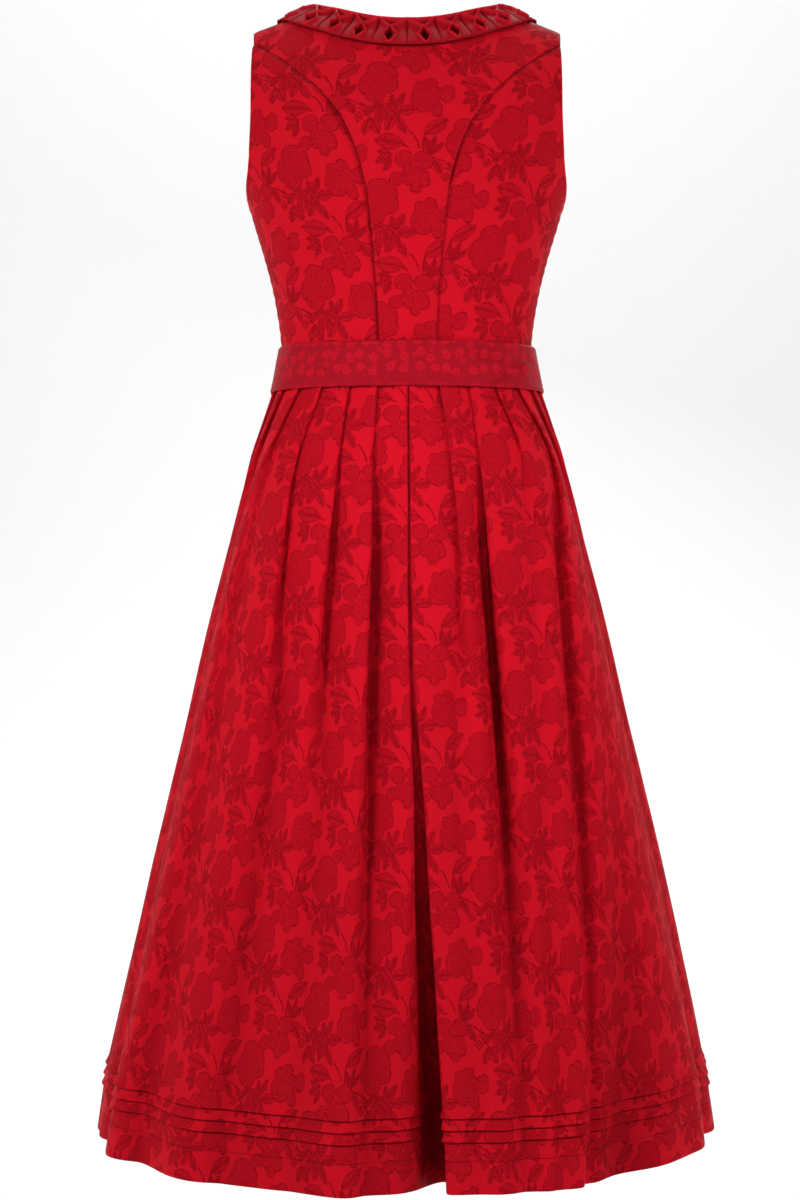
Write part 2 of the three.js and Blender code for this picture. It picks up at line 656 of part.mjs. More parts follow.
// Rows of the skirt down to the hem, where each tuck and the turned hem stand out
const tuckZ = [-1058, -1068.5, -1079];
const skirtDrops = [0, 22, 60, 107, 165, 230, 300, 380, 470, 570].map((drop) => ({ drop, raise: 0 }));
skirtDrops.push({ drop: waistSeam - tuckZ[0] - 9, raise: 0 });
for (const z of tuckZ) {
  skirtDrops.push({ drop: waistSeam - z, raise: tuckRaise });
  skirtDrops.push({ drop: waistSeam - z + 0.8, raise: 0 });
}
skirtDrops.push({ drop: skirtLength, raise: 0 });

// Directions square to a section of points, in the plane of the section
function sectionNormals(points) {
  return points.map((p, i) => {
    const sum = new THREE.Vector3();
    for (const [a, b] of [[i - 1, i], [i, i + 1]]) {
      if (a < 0 || b >= points.length) continue;
      const edge = points[b].clone().sub(points[a]).setZ(0).normalize();
      sum.add(new THREE.Vector3(edge.y, -edge.x, 0));
    }
    return sum.normalize();
  });
}

{
  const sections = skirtDrops.map(({ drop, raise }) => {
    const lowered = drop === 0 ? seamGap : drop;
    const points = skirtSection(lowered).map((p) => skirtPoint(p.turn, lowered, p.out));
    return { points, normals: sectionNormals(points), raise };
  });
  const plainCount = frontTurns.length + 1;
  const cornersPerPleat = 5;
  const frontPleats = 3;
  const last = sections[0].points.length - 1;
  const centreBack = last / 2;
  const sideLeft = plainCount + cornersPerPleat * frontPleats - 1;
  const sideRight = last - sideLeft;
  const shift = (p, towards) => p.clone().add(towards.clone().sub(p).setLength(seamGap / 2));
  const cut = (name, from, to) => {
    const layer = (distance) => sections.map(({ points, normals, raise }) => {
      const left = shift(points[from], points[from + 1]);
      const right = shift(points[to], points[to - 1]);
      const chosen = [left, ...points.slice(from + 1, to), right];
      return chosen.map((p, i) => p.clone().addScaledVector(normals[from + i], distance(raise)));
    });
    addPiece(name, wall(layer(() => -clothThick / 2), layer((raise) => clothThick / 2 + raise)), damask);
  };
  cut("skirt_front_l", 0, sideLeft);
  cut("skirt_back_l", sideLeft, centreBack);
  cut("skirt_back_r", centreBack, sideRight);
  cut("skirt_front_r", sideRight, last);
}

// Ring of the waist that bands lie on, from the bodice over the seam to the skirt
const bandRings = [
  { z: bandTop, half: 123.8, back: 90.6, front: 94.4 },
  { z: bandBottom, half: 132.4, back: 97.4, front: 100.6 },
];

function bandPoint(turn, z, out) {
  const depth = (forward) => column(bandRings, "z", z, forward < 0 ? "back" : "front");
  return ringPoint(column(bandRings, "z", z, "half"), depth, turn, z, out);
}

// Wall over a grid of turns and heights, between two distances out from a ring form
function ringWall(turns, heights, point, from, to) {
  const layer = (extra) =>
    heights.map((height) => turns.map((turn) => point(turn, height, from(turn, height) + extra)));
  return wall(layer(0), layer(to));
}

function spread(from, to, count) {
  return Array.from({ length: count + 1 }, (_, i) => THREE.MathUtils.lerp(from, to, i / count));
}

// Apron panel, gathered at the waist, over the plain front of the skirt
{
  const turns = spread(180 - apronHalfTurn, 180 + apronHalfTurn, 4 * apronGathers);
  const drops = [3, 30, 75, 140, 230, 340, 460, 580, apronLength];
  const gather = (turn, drop) => {
    const phase = ((turn - 180 + apronHalfTurn) / (2 * apronHalfTurn)) * apronGathers * 2 * Math.PI;
    const loosened = 0.4 + 0.6 * THREE.MathUtils.smoothstep(drop, 20, 90);
    return 1.5 * (1 - Math.cos(phase)) * loosened * (1 - 0.6 * (drop / apronLength));
  };
  const overTucks = (drop) => tuckRaise * THREE.MathUtils.smoothstep(drop, 500, 680);
  const overWaist = (drop) => 1.2 * THREE.MathUtils.smoothstep(drop, 0, 75);
  const from = (turn, drop) =>
    clothThick / 2 + layerGap + overTucks(drop) + overWaist(drop) + gather(turn, drop);
  const wrapped = (turn, drop, out) => skirtPoint(turn > 180 ? turn - 360 : turn, drop, out);
  addPiece("apron_panel", ringWall(turns, drops, wrapped, from, clothThick), tieCloth);
}

// Apron waistband over the apron's gathered edge, and the tie that goes once round over it
{
  const heights = [bandTop, bandBottom];
  const pastPanel = 3;
  const bandTurns = spread(180 - apronHalfTurn - pastPanel, 180 + apronHalfTurn + pastPanel, 20);
  const bandForm = ringWall(bandTurns, heights, bandPoint, () => waistbandOut, clothThick);
  addPiece("apron_waistband", bandForm, tieCloth);

  const joinTurn = 96;
  const tieOut = (turn) => THREE.MathUtils.lerp(tieBackOut, tieFrontOut,
    THREE.MathUtils.smoothstep(Math.abs(turn - 360 * Math.round(turn / 360)), 86, 110));
  const gapTurn = 0.07;
  const backTurns = spread(-joinTurn + gapTurn, joinTurn - gapTurn, 32);
  const overTurns = spread(joinTurn + gapTurn, 360 - joinTurn - gapTurn, 26);
  addPiece("tie_back", ringWall(backTurns, heights, bandPoint, tieOut, clothThick), tieCloth);
  addPiece("tie_front", ringWall(overTurns, heights, bandPoint, tieOut, clothThick), tieCloth);
}

// Bow that closes the tie at the front left
{
  const bowTurn = -154;
  const bowZ = (bandTop + bandBottom) / 2;
  const faceOut = tieFrontOut + clothThick;
  const ribbonWidth = 42;
  const knot = { across: 13, out: 7, up: 15 };
  const seat = bandPoint(bowTurn, bowZ, faceOut);
  const outward = bandPoint(bowTurn, bowZ, faceOut + 1).sub(seat).normalize();
  const across = new THREE.Vector3(0, 0, 1).cross(outward).normalize();
  const at = (side, out, up) => seat.clone().addScaledVector(across, side)
    .addScaledVector(outward, out).add(new THREE.Vector3(0, 0, up));

  const knotGeometry = new THREE.SphereGeometry(1, 10, 8);
  knotGeometry.scale(knot.across, knot.out, knot.up);
  const knotMesh = addPiece("bow_knot", knotGeometry, tieCloth);
  knotMesh.position.copy(at(0, knot.out + layerGap, 0));
  knotMesh.rotation.z = Math.atan2(across.y, across.x);

  // Middle line of a loop, out along its front and back along its rear: distance from the knot, out, and sag
  const loopLine = [
    { side: 12, out: 10.5, up: 0, width: 0.5 },
    { side: 26, out: 19, up: -3, width: 0.8 },
    { side: 48, out: 21, up: -12, width: 1 },
    { side: 70, out: 17, up: -24, width: 1 },
    { side: 77, out: 11.5, up: -28, width: 1 },
    { side: 70, out: 6.2, up: -26, width: 1 },
    { side: 48, out: 5.4, up: -15, width: 1 },
    { side: 26, out: 4.8, up: -5, width: 0.8 },
    { side: 12.8, out: 4.6, up: 0, width: 0.5 },
  ];
  // Rows of a tail from under the knot down the apron: height, distance out, way from the middle, width
  const tailRows = [
    { z: -368, out: 7.7, side: 5.2, width: 9 },
    { z: -378, out: 7.9, side: 11, width: 20 },
    { z: -394, out: 9.2, side: 16, width: 30 },
    { z: -425, out: 8.6, side: 20.5, width: 38 },
    { z: -480, out: 8.4, side: 24, width: 42 },
    { z: -550, out: 8.2, side: 30, width: 42 },
    { z: -620, out: 8, side: 35, width: 42 },
    { z: -690, out: 8, side: 38, width: 42 },
  ];
  for (const hand of [-1, 1]) {
    const shorter = hand > 0 ? 24 : 0;
    const grid = (extra) => tailRows.map((row, i) => [-0.5, 0, 0.5].map((share) => {
      const z = row.z + (shorter * i) / tailRows.length;
      const radius = THREE.MathUtils.mapLinear(z, bandBottom, -690, 112, 196);
      const turn = bowTurn + THREE.MathUtils.radToDeg((hand * row.side + share * row.width) / radius);
      if (z > bandBottom) return bandPoint(turn, z, row.out + extra);
      return skirtPoint(turn, waistSeam - z, row.out + extra);
    }));
    addPiece(`bow_tail_${hand > 0 ? "r" : "l"}`, wall(grid(0), grid(clothThick)), tieCloth);
  }

  for (const hand of [-1, 1]) {
    const centre = loopLine.map((row) => new THREE.Vector2(row.side, row.out));
    const sides = centre.map((p, i) => {
      const next = centre[Math.min(i + 1, centre.length - 1)];
      const before = centre[Math.max(i - 1, 0)];
      return next.clone().sub(before).normalize();
    });
    const grid = (distance) => loopLine.map((row, i) => [-0.5, 0, 0.5].map((share) =>
      at(hand * (row.side - sides[i].y * distance), row.out + sides[i].x * distance,
        row.up + share * ribbonWidth * row.width)));
    const loop = wall(grid(-clothThick / 2), grid(clothThick / 2));
    addPiece(`bow_loop_${hand > 0 ? "r" : "l"}`, loop, tieCloth);
  }
}

export default dress;
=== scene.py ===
import math
import bpy
import numpy as np
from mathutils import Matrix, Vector


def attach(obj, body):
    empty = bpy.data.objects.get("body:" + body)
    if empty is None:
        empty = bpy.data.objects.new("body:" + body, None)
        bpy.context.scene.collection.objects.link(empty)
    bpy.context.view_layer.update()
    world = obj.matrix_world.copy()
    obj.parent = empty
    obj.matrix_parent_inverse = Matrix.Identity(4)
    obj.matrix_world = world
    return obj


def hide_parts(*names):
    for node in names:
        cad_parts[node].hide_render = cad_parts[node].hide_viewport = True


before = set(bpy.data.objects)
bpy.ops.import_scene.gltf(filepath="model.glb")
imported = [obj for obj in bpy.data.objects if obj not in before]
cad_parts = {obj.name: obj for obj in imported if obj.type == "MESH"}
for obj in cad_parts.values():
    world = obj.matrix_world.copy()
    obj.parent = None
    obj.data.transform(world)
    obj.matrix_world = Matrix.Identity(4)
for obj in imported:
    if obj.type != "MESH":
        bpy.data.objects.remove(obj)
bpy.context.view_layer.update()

mm = 0.001

# The worn form, the same rings and seams as the solids have, in millimetres
formPower = 2.12
archBase = -140
archLength = 220
waistSeam = -358
hemZ = -1125
underarmZ = -190
clothThick = 1.2
bandTop = -333.5
bandBottom = -378.5
waistRise = waistSeam - archBase
skirtLength = waistSeam - hemZ

bodiceRings = {
    "rise": [-225, -193, -145, -105, -65, -25, 0, 60, 130, 220],
    "half": [126, 123.5, 130, 140, 152, 163, 168, 178, 186, 190],
    "back": [91, 90, 97, 104, 109, 111, 110, 107, 99, 94],
    "front": [94, 94, 104, 120, 134, 137, 132, 118, 103, 94],
}
skirtRings = {
    "z": [-358, -385, -465, -585, -705, -825, -945, -1065, -1125],
    "half": [125.5, 134.5, 159, 191.5, 220, 248, 274.5, 299, 307],
    "back": [91, 99, 122, 153, 180, 206, 231, 256, 267],
    "front": [94, 102, 122, 151, 177, 202, 226, 249, 258],
}
bandRings = {
    "z": [bandTop, bandBottom],
    "half": [123.8, 132.4],
    "back": [90.6, 97.4],
    "front": [94.4, 100.6],
}
backSeam = [(28.5, -358), (28.8, -320), (31, -278), (35.6, -229), (39.2, -196), (44.2, -170),
            (54.3, -139), (65.6, -117), (82.8, -94), (108.5, -70), (130, -52), (151.5, -38)]
frontSeam = [(50, -358), (56, -318), (66, -276), (76, -238), (84, -205), (90, -180),
             (97, -160), (106, -143), (117, -130), (129, -120), (139, -113), (147.5, -108)]
backArmhole = [(151.5, -38), (152.5, -70), (152.5, -105), (153.5, -135), (155, -160)]
frontArmhole = [(147.5, -108), (149, -128), (152, -150), (155, -168)]
frontArmholeTop = [(147.5, -108), (147, -75), (149.5, -42)]
backNeck = [(0, -20), (24, -18.5), (46, -13.5), (66, -7), (82, -1.5)]
frontNeck = [(0, -172), (28, -169), (54, -158), (74, -137), (87, -108), (95, -76), (98, -44), (97.5, -16)]
shoulderTipX = 153
neckPointX = 96


def smooth(value, low, high):
    t = np.clip((np.asarray(value, float) - low) / (high - low), 0, 1)
    return t * t * (3 - 2 * t)


def mix(a, b, share):
    return a + (b - a) * share


def along(table, key, at, name):  # eased value of one column between the rows of a table
    xs, ys = np.array(table[key], float), np.array(table[name], float)
    if xs[-1] < xs[0]:
        xs, ys = xs[::-1], ys[::-1]
    slopes = np.gradient(ys, xs)
    slopes[1:-1] = (ys[2:] - ys[:-2]) / (xs[2:] - xs[:-2])
    at = np.clip(np.asarray(at, float), xs[0], xs[-1])
    i = np.clip(np.searchsorted(xs, at, side="right") - 1, 0, len(xs) - 2)
    span = xs[i + 1] - xs[i]
    t = (at - xs[i]) / span
    h = t * t * (3 - 2 * t)
    ease = t * (1 - t) ** 2 * span * slopes[i] + t * t * (t - 1) * span * slopes[i + 1]
    return ys[i] * (1 - h) + ys[i + 1] * h + ease


def signed(value, power):
    return np.sign(value) * np.abs(value) ** power


def ridge(x):
    away = np.abs(x)
    return 18 - 12 * (away / 77) ** 1.3 - np.where(away > 95, 0.16 * (away - 95), 0)


def bodicePoint(turn, rise):
    turn, rise = np.asarray(turn, float), np.asarray(rise, float)
    side = signed(np.sin(np.radians(turn)), 2 / formPower)
    fore = -signed(np.cos(np.radians(turn)), 2 / formPower)
    x = along(bodiceRings, "rise", rise, "half") * side
    back, front = (along(bodiceRings, "rise", rise, side) for side in ("back", "front"))
    depth = np.where(fore < 0, back, front)
    lift = np.clip(rise, 0, archLength) / archLength * np.pi / 2
    z = np.where(rise <= 0, archBase + rise, archBase + (ridge(x) - archBase) * np.sin(lift))
    return np.stack([x, depth * fore * np.cos(lift), z], -1)


def bodicePlace(x, z, front):
    share = np.clip((z - archBase) / (ridge(x) - archBase), -1, 1)
    rise = z - archBase if z < archBase else float(np.arcsin(share)) / (np.pi / 2) * archLength
    reach = min(1, abs(x) / float(along(bodiceRings, "rise", rise, "half")))
    turn = math.degrees(math.asin(reach ** (formPower / 2)))
    return (180 - turn if front else turn, rise)


def placesOf(points, front):
    return np.array([bodicePlace(x, z, front) for x, z in points])


def trace(places, count):  # places at even steps along a line drawn on the form
    places = np.asarray(places, float)
    points = bodicePoint(places[:, 0], places[:, 1])
    reach = np.concatenate([[0], np.cumsum(np.linalg.norm(np.diff(points, axis=0), axis=1))])
    table = {"reach": reach, "turn": places[:, 0], "rise": places[:, 1]}
    at = np.linspace(0, reach[-1], count + 1)
    return np.stack([along(table, "reach", at, "turn"), along(table, "reach", at, "rise")], -1)


def patch(left, right, bottom, top):  # grid of places that fills the area between four edges
    u = np.linspace(0, 1, len(bottom))[None, :, None]
    v = np.linspace(0, 1, len(left))[:, None, None]
    sides = (1 - u) * left[:, None] + u * right[:, None]
    ends = (1 - v) * bottom[None] + v * top[None]
    corners = (1 - v) * mix(bottom[0], bottom[-1], u) + v * mix(top[0], top[-1], u)
    grid = sides + ends - corners
    for _ in range(240):  # even the inside out, so that no column crosses another
        grid[1:-1, 1:-1] = (grid[2:, 1:-1] + grid[:-2, 1:-1] + grid[1:-1, 2:] + grid[1:-1, :-2]) / 4
    return grid


def gridNormals(points):
    du, dv = np.gradient(points, axis=1), np.gradient(points, axis=0)
    normals = np.cross(du, dv)
    return normals / np.maximum(np.linalg.norm(normals, axis=-1, keepdims=True), 1e-9)


def bodiceNormal(turn, rise):
    across = bodicePoint(turn + 0.4, rise) - bodicePoint(turn - 0.4, rise)
    top = np.minimum(rise + 0.6, archLength)
    normal = np.cross(across, bodicePoint(turn, top) - bodicePoint(turn, top - 1.2))
    return normal / np.linalg.norm(normal, axis=-1, keepdims=True)


def ringPoint(rings, turn, at, out, z):
    def oval(t):
        fore = -signed(np.cos(np.radians(t)), 2 / formPower)
        depth = np.where(fore < 0, along(rings, "z", at, "back"), along(rings, "z", at, "front"))
        x = along(rings, "z", at, "half") * signed(np.sin(np.radians(t)), 2 / formPower)
        return np.stack([x, depth * fore, np.broadcast_to(z, x.shape)], -1)

    run = oval(turn + 0.5) - oval(turn - 0.5)
    normal = np.stack([run[..., 1], -run[..., 0], np.zeros(run.shape[:-1])], -1)
    normal /= np.linalg.norm(normal, axis=-1, keepdims=True)
    return oval(turn) + normal * np.asarray(out, float)[..., None]


def ripples(u, v, seed, count=7):  # gentle unevenness, from -1 to 1, over lengths near 1
    chance = np.random.default_rng(seed)
    total = np.zeros(np.broadcast(u, v).shape)
    for _ in range(count):
        a, b = chance.normal(0, 1, 2) * 2.2
        total = total + np.sin(a * u + b * v + chance.uniform(0, 6.28))
    return total / (0.8 * count)


# Camera where the photograph was taken from, square on to the back
cameraSettings = {"place": (-0.007, -2.8, -0.585), "lens": 84}
camera = bpy.data.objects.new("camera", bpy.data.cameras.new("camera"))
camera.location = cameraSettings["place"]
camera.rotation_euler = (math.pi / 2, 0, 0)
camera.data.lens = cameraSettings["lens"]
camera.data.sensor_width = 36
scene = bpy.context.scene
scene.collection.objects.link(camera)
scene.camera = camera
scene.view_settings.view_transform = "Standard"
scene.view_settings.look = "None"


# Shader maths on sockets, written as sums
class Thread:
    def __init__(self, loom, socket):
        self.loom, self.socket = loom, socket

    def op(self, operation, *values):
        return self.loom.node("ShaderNodeMath", {"operation": operation}, list(values))

    def __add__(self, other):
        return self.op("ADD", self, other)

    def __radd__(self, other):
        return self.op("ADD", other, self)

    def __sub__(self, other):
        return self.op("SUBTRACT", self, other)

    def __rsub__(self, other):
        return self.op("SUBTRACT", other, self)

    def __mul__(self, other):
        return self.op("MULTIPLY", self, other)

    def __rmul__(self, other):
        return self.op("MULTIPLY", other, self)

    def __truediv__(self, other):
        return self.op("DIVIDE", self, other)

    def __abs__(self):
        return self.op("ABSOLUTE", self)


class Loom:  # one material's node tree
    def __init__(self, name):
        self.material = bpy.data.materials.new(name)
        self.material.use_nodes = True
        self.tree = self.material.node_tree
        self.tree.nodes.clear()

    def node(self, kind, settings=None, values=(), output=0):
        made = self.tree.nodes.new(kind)
        for key, value in (settings or {}).items():
            setattr(made, key, value)
        pairs = values.items() if isinstance(values, dict) else enumerate(values)
        for key, value in pairs:
            socket = made.inputs[key]
            if isinstance(value, Thread):
                self.tree.links.new(value.socket, socket)
            elif hasattr(socket.default_value, "__len__") and len(socket.default_value) == 4:
                socket.default_value = (*value[:3], 1)
            else:
                socket.default_value = value
        return Thread(self, made.outputs[output])

    def place(self):  # the piece's own cloth coordinates, in millimetres
        uv = self.node("ShaderNodeUVMap", {"uv_map": "cloth"})
        return self.vector("SCALE", {"Vector": uv, "Scale": 1000})

    # painted shade, stored as a value on each cloth piece
    def painted_shade(self):
        return self.node("ShaderNodeAttribute", {"attribute_name": "painted_shade"}, (), 2)

    def vector(self, operation, values, output=0):
        return self.node("ShaderNodeVectorMath", {"operation": operation}, values, output)

    def move(self, vector, at, turn=0, size=(1, 1)):  # coordinates of something laid down at a place
        values = {"Vector": vector, "Location": (at[0], at[1], 0), "Rotation": (0, 0, math.radians(turn)),
                  "Scale": (size[0], size[1], 1)}
        return self.node("ShaderNodeMapping", {"vector_type": "TEXTURE"}, values)

    def parts(self, vector):
        made = self.tree.nodes.new("ShaderNodeSeparateXYZ")
        self.tree.links.new(vector.socket, made.inputs[0])
        return Thread(self, made.outputs[0]), Thread(self, made.outputs[1])

    def fade(self, value, low, high):
        settings = {"interpolation_type": "SMOOTHSTEP"}
        return self.node("ShaderNodeMapRange", settings, {"Value": value, "From Min": low, "From Max": high})

    def noise(self, place, scale, detail=2.0, roughness=0.5, output=0):
        values = {"Vector": place, "Scale": scale, "Detail": detail, "Roughness": roughness}
        return self.node("ShaderNodeTexNoise", {}, values, output)

    def ruffled(self, place, scale, detail, roughness, reach):  # coordinates pushed about, for uneven edges
        pushed = self.noise(place, scale, detail, roughness, 1)
        centred = self.vector("SUBTRACT", {0: pushed, 1: (0.5, 0.5, 0.5)})
        return self.vector("MULTIPLY_ADD", {0: centred, 1: (reach, reach, 0), 2: place})

    def blend(self, share, a, b):
        return self.node("ShaderNodeMix", {"data_type": "RGBA"}, {0: share, 6: a, 7: b}, 2)

    def finish(self, colour, roughness, bumps=(), **fixed):
        shader = self.tree.nodes.new("ShaderNodeBsdfPrincipled")
        for key, value in fixed.items():
            socket = shader.inputs[key.replace("_", " ")]
            socket.default_value = (*value, 1) if hasattr(value, "__len__") else value
        for key, value in (("Base Color", colour), ("Roughness", roughness)):
            if isinstance(value, Thread):
                self.tree.links.new(value.socket, shader.inputs[key])
            else:
                shader.inputs[key].default_value = (*value, 1) if hasattr(value, "__len__") else value
        normal = None
        for height, depth in bumps:
            values = {"Height": height, "Distance": depth, "Strength": 1.0}
            if normal:
                values["Normal"] = normal
            normal = self.node("ShaderNodeBump", {}, values)
        if normal:
            self.tree.links.new(normal.socket, shader.inputs["Normal"])
        end = self.tree.nodes.new("ShaderNodeOutputMaterial")
        self.tree.links.new(shader.outputs[0], end.inputs[0])
        return self.material


# The damask: satin ground, and a half-drop repeat of roses, buds and sprigs in the duller weave
damaskSettings = {
    "repeatWide": 84,
    "repeatTall": 117.6,
    "ground": (0.60, 0.0060, 0.0165),
    "motif": (0.475, 0.0050, 0.0140),
    "line": (0.31, 0.0034, 0.0090),
    "outline": (0.25, 0.0030, 0.0075),
}


def dropRepeat(loom, cloth, at):  # coordinates from the nearest repeat of a place in the pattern
    wide, tall = damaskSettings["repeatWide"], damaskSettings["repeatTall"]
    u, v = loom.parts(cloth)
    across = u - at[0]
    repeats = across / wide
    column = repeats.op("ROUND", repeats)
    x = across - column * wide
    dropped = v - at[1] - column * (tall / 2)
    y = dropped.op("WRAP", dropped, tall / 2, -tall / 2)
    return loom.node("ShaderNodeCombineXYZ", {}, [x, y])


def leafShape(loom, cloth, base, turn, length, width):
    x, y = loom.parts(loom.move(cloth, base, turn, (length, 1)))
    inside = x * (1 - x) * (2 * width) - abs(y)
    return inside.op("MINIMUM", inside, abs(y) - 0.3)


def stemShape(loom, cloth, centre, radius, middle, reach):
    away = loom.vector("DISTANCE", {0: cloth, 1: (*centre, 0)}, 1)
    near = loom.vector("DISTANCE", {0: cloth, 1: (*middle, 0)}, 1)
    line = 0.5 - abs(away - radius)
    return line.op("MINIMUM", line, reach - near)


def lobeShape(loom, cloth, centre, turn, wide, tall):
    length = loom.vector("LENGTH", {0: loom.move(cloth, centre, turn, (wide / 2.3, tall / 2.3))}, 1)
    return (1 - length) * (min(wide, tall) / 2.3)


def berryShape(loom, cloth, centre, turn, reach):
    local = loom.move(cloth, centre, turn)
    dots = loom.vector("WRAP", {0: local, 1: (1.45, 1.45, 1), 2: (-1.45, -1.45, -1)})
    dot = 0.95 - loom.vector("LENGTH", {0: dots}, 1)
    return dot.op("MINIMUM", dot, reach - loom.vector("LENGTH", {0: local}, 1))


def union(shapes):
    total = shapes[0]
    for shape in shapes[1:]:
        total = total.op("MAXIMUM", total, shape)
    return total


def growth(loom, near, leaves, vines):
    grown = [leafShape(loom, near, *leaf) for leaf in leaves]
    return grown + [stemShape(loom, near, *vine) for vine in vines]


def bloomShape(loom, near, lobes, creases, depth, edge):  # overlapping petals, parted by lines drawn in them
    whole = union([lobeShape(loom, near, *lobe) for lobe in lobes])
    drawn = union([stemShape(loom, near, *crease) for crease in creases])
    return whole.op("MINIMUM", whole, drawn * -depth - edge)


def damaskPattern(loom, cloth):  # how far inside a motif a point lies, in millimetres
    wavy = loom.ruffled(cloth, 0.27, 3, 0.66, 4.6)

    # round the five-petalled flower
    near = dropRepeat(loom, wavy, (0, 0))
    petals = [((-7.5, 10), 20, 21, 18), ((12, 9), -15, 22, 19), ((9.5, -7.5), -60, 24, 17),
              ((-1.5, -5), 0, 18, 24), ((-14.5, -9), 25, 17, 15), ((4, -17), 0, 12, 13)]
    folds = [((13, -13), 20, (0, 4), 11), ((-18, 10), 20, (1, 2), 8),
             ((20, 16), 19, (7, 2), 8), ((-6, -22), 15, (-9, -7), 5)]
    flower = bloomShape(loom, near, petals, folds, 1.6, 0.1)
    leaves = [((-6.5, 24.5), 171, 30, 15.5), ((-18, 14), 166, 16, 7.5), ((-19, 13), 200, 17, 7.5),
              ((-19, 11), 238, 15, 6.5), ((12, 34), 33, 28, 13), ((17, 15), 104, 17, 5.4),
              ((18, 15), 74, 19, 5.4), ((19, 15), 42, 17, 5.4), ((22, 9), -62, 15, 7.5)]
    vines = [((-22, 15), 30, (4, 30), 10), ((42, 22), 31, (11.5, 26), 10), ((-14, 0), 24, (-9, 22.5), 6),
             ((18, -16), 27, (31, 6), 12)]
    sprigs = growth(loom, near, leaves, vines) + [berryShape(loom, near, (33, -7), 35, 4.6)]

    # round the cup rose, with the vine below it
    near = dropRepeat(loom, wavy, (53, 29))
    cup = [((3, 9), -28, 36, 26), ((-10, -1), 60, 30, 21), ((-4, -12), 20, 25, 24), ((9, -4), 0, 22, 20)]
    lips = [((18, 34), 40, (-3, 1), 17), ((-32, -20), 24, (-12, -6), 8), ((14, -22), 17, (1, -10), 9)]
    rose = bloomShape(loom, near, cup, lips, 1.7, 0.15)
    leaves = [((6, -23), -48, 21, 10), ((2, -24), -98, 23, 9), ((-2, -24), -140, 17, 7),
              ((-9, -37), -60, 19, 9), ((-10, -38), -108, 17, 8)]
    vines = [((-32, -50), 26, (-11, -34), 12), ((-8, -16), 11, (-12, -26), 8)]
    below = growth(loom, near, leaves, vines)

    # round the scalloped flower and the cluster of leaves
    near = dropRepeat(loom, wavy, (0, -55))
    scallops = [((11, 6), 0, 27, 31), ((18, 21), 40, 17, 15), ((9, 19), -30, 15, 13),
                ((35, 12), -25, 17, 21), ((23, -1), 20, 14, 25), ((22, 12), 0, 18, 17)]
    gaps = [((0, 8), 24.5, (24, 4), 14), ((30, 28), 14, (25, 15), 9),
            ((14, 30), 17, (13, 14), 10), ((14, 6), 8, (10, 0), 9)]
    scalloped = bloomShape(loom, near, scallops, gaps, 1.6, 0.1)
    leaves = []
    for turn, long, wide in ((152, 19, 8), (200, 15, 8), (248, 16, 9), (300, 21, 8), (8, 19, 10), (62, 19, 7),
                             (96, 15, 6)):
        base = (-17 + 3.5 * math.cos(math.radians(turn)), -7 + 3.5 * math.sin(math.radians(turn)))
        leaves.append((base, turn, long, wide))
    cluster = growth(loom, near, leaves, []) + [berryShape(loom, near, (-17, -7), 20, 3.6)]
    return union([flower, *sprigs, rose, *below, scalloped, *cluster])


def weave(loom, cloth, pitch):  # threads going over and under
    u, v = loom.parts(loom.vector("SCALE", {"Vector": cloth, "Scale": 2 * math.pi / pitch}))
    return u.op("SINE", u) * v.op("SINE", v)


def makeDamask():
    loom = Loom("damask")
    cloth = loom.place()
    depth = damaskPattern(loom, cloth)
    motif = loom.fade(depth, -0.3, 0.3)
    outline = loom.fade(abs(depth - 0.2), 0.68, 0.22)
    engraved = loom.noise(cloth, 0.13, 1.5, 0.6)
    phase = depth * 2.4 + engraved * 22
    veins = loom.fade(phase.op("SINE", phase), 0.2, 0.9)
    streaks = loom.noise(loom.move(cloth, (0, 0), 0, (1.2, 40)), 1.0, 2, 0.6)
    cloud = loom.noise(cloth, 0.012)
    s = damaskSettings
    dull = loom.blend(veins * 0.75, s["motif"], s["line"])
    bright = loom.blend(streaks * 0.3 + cloud * 0.3 - 0.1, s["ground"], tuple(0.85 * c for c in s["ground"]))
    colour = loom.blend(outline * 0.9, loom.blend(motif, bright, dull), s["outline"])
    # painted shade: the colour is darkened towards near-black by the piece's painted shade value
    colour = loom.blend(loom.painted_shade() * 0.85, colour, (0.045, 0.0006, 0.0014))
    roughness = 0.52 + motif * 0.12 + streaks * 0.05
    heights = ((weave(loom, cloth, 0.9), 0.00005), (streaks, 0.00010))
    return loom.finish(colour, roughness, heights, IOR=1.2, Specular_IOR_Level=0.2,
                       Specular_Tint=(1.0, 0.12, 0.16))


def makeSatin():
    loom = Loom("trim_satin")
    cloth = loom.place()
    streaks = loom.noise(loom.move(cloth, (0, 0), 0, (0.7, 16)), 1.0, 2, 0.6)
    cloud = loom.noise(cloth, 0.08)
    colour = loom.blend(streaks * 0.4 + cloud * 0.4, (0.70, 0.0070, 0.0200), (0.52, 0.0060, 0.0160))
    # painted shade: the colour is darkened towards near-black by the piece's painted shade value
    colour = loom.blend(loom.painted_shade(), colour, (0.055, 0.0007, 0.0018))
    heights = ((weave(loom, cloth, 0.7), 0.00003), (streaks, 0.00008))
    return loom.finish(colour, 0.36 + streaks * 0.12, heights, IOR=1.3, Specular_IOR_Level=0.45,
                       Specular_Tint=(1.0, 0.2, 0.24))


# Small five-petalled blossoms strewn over the apron cloth, with a plain strip along its lower edge
blossomSettings = {
    "pitch": 13.5,
    "size": 4.6,
    "ground": (0.355, 0.0050, 0.0140),
    "blossom": (0.53, 0.0062, 0.0180),
}


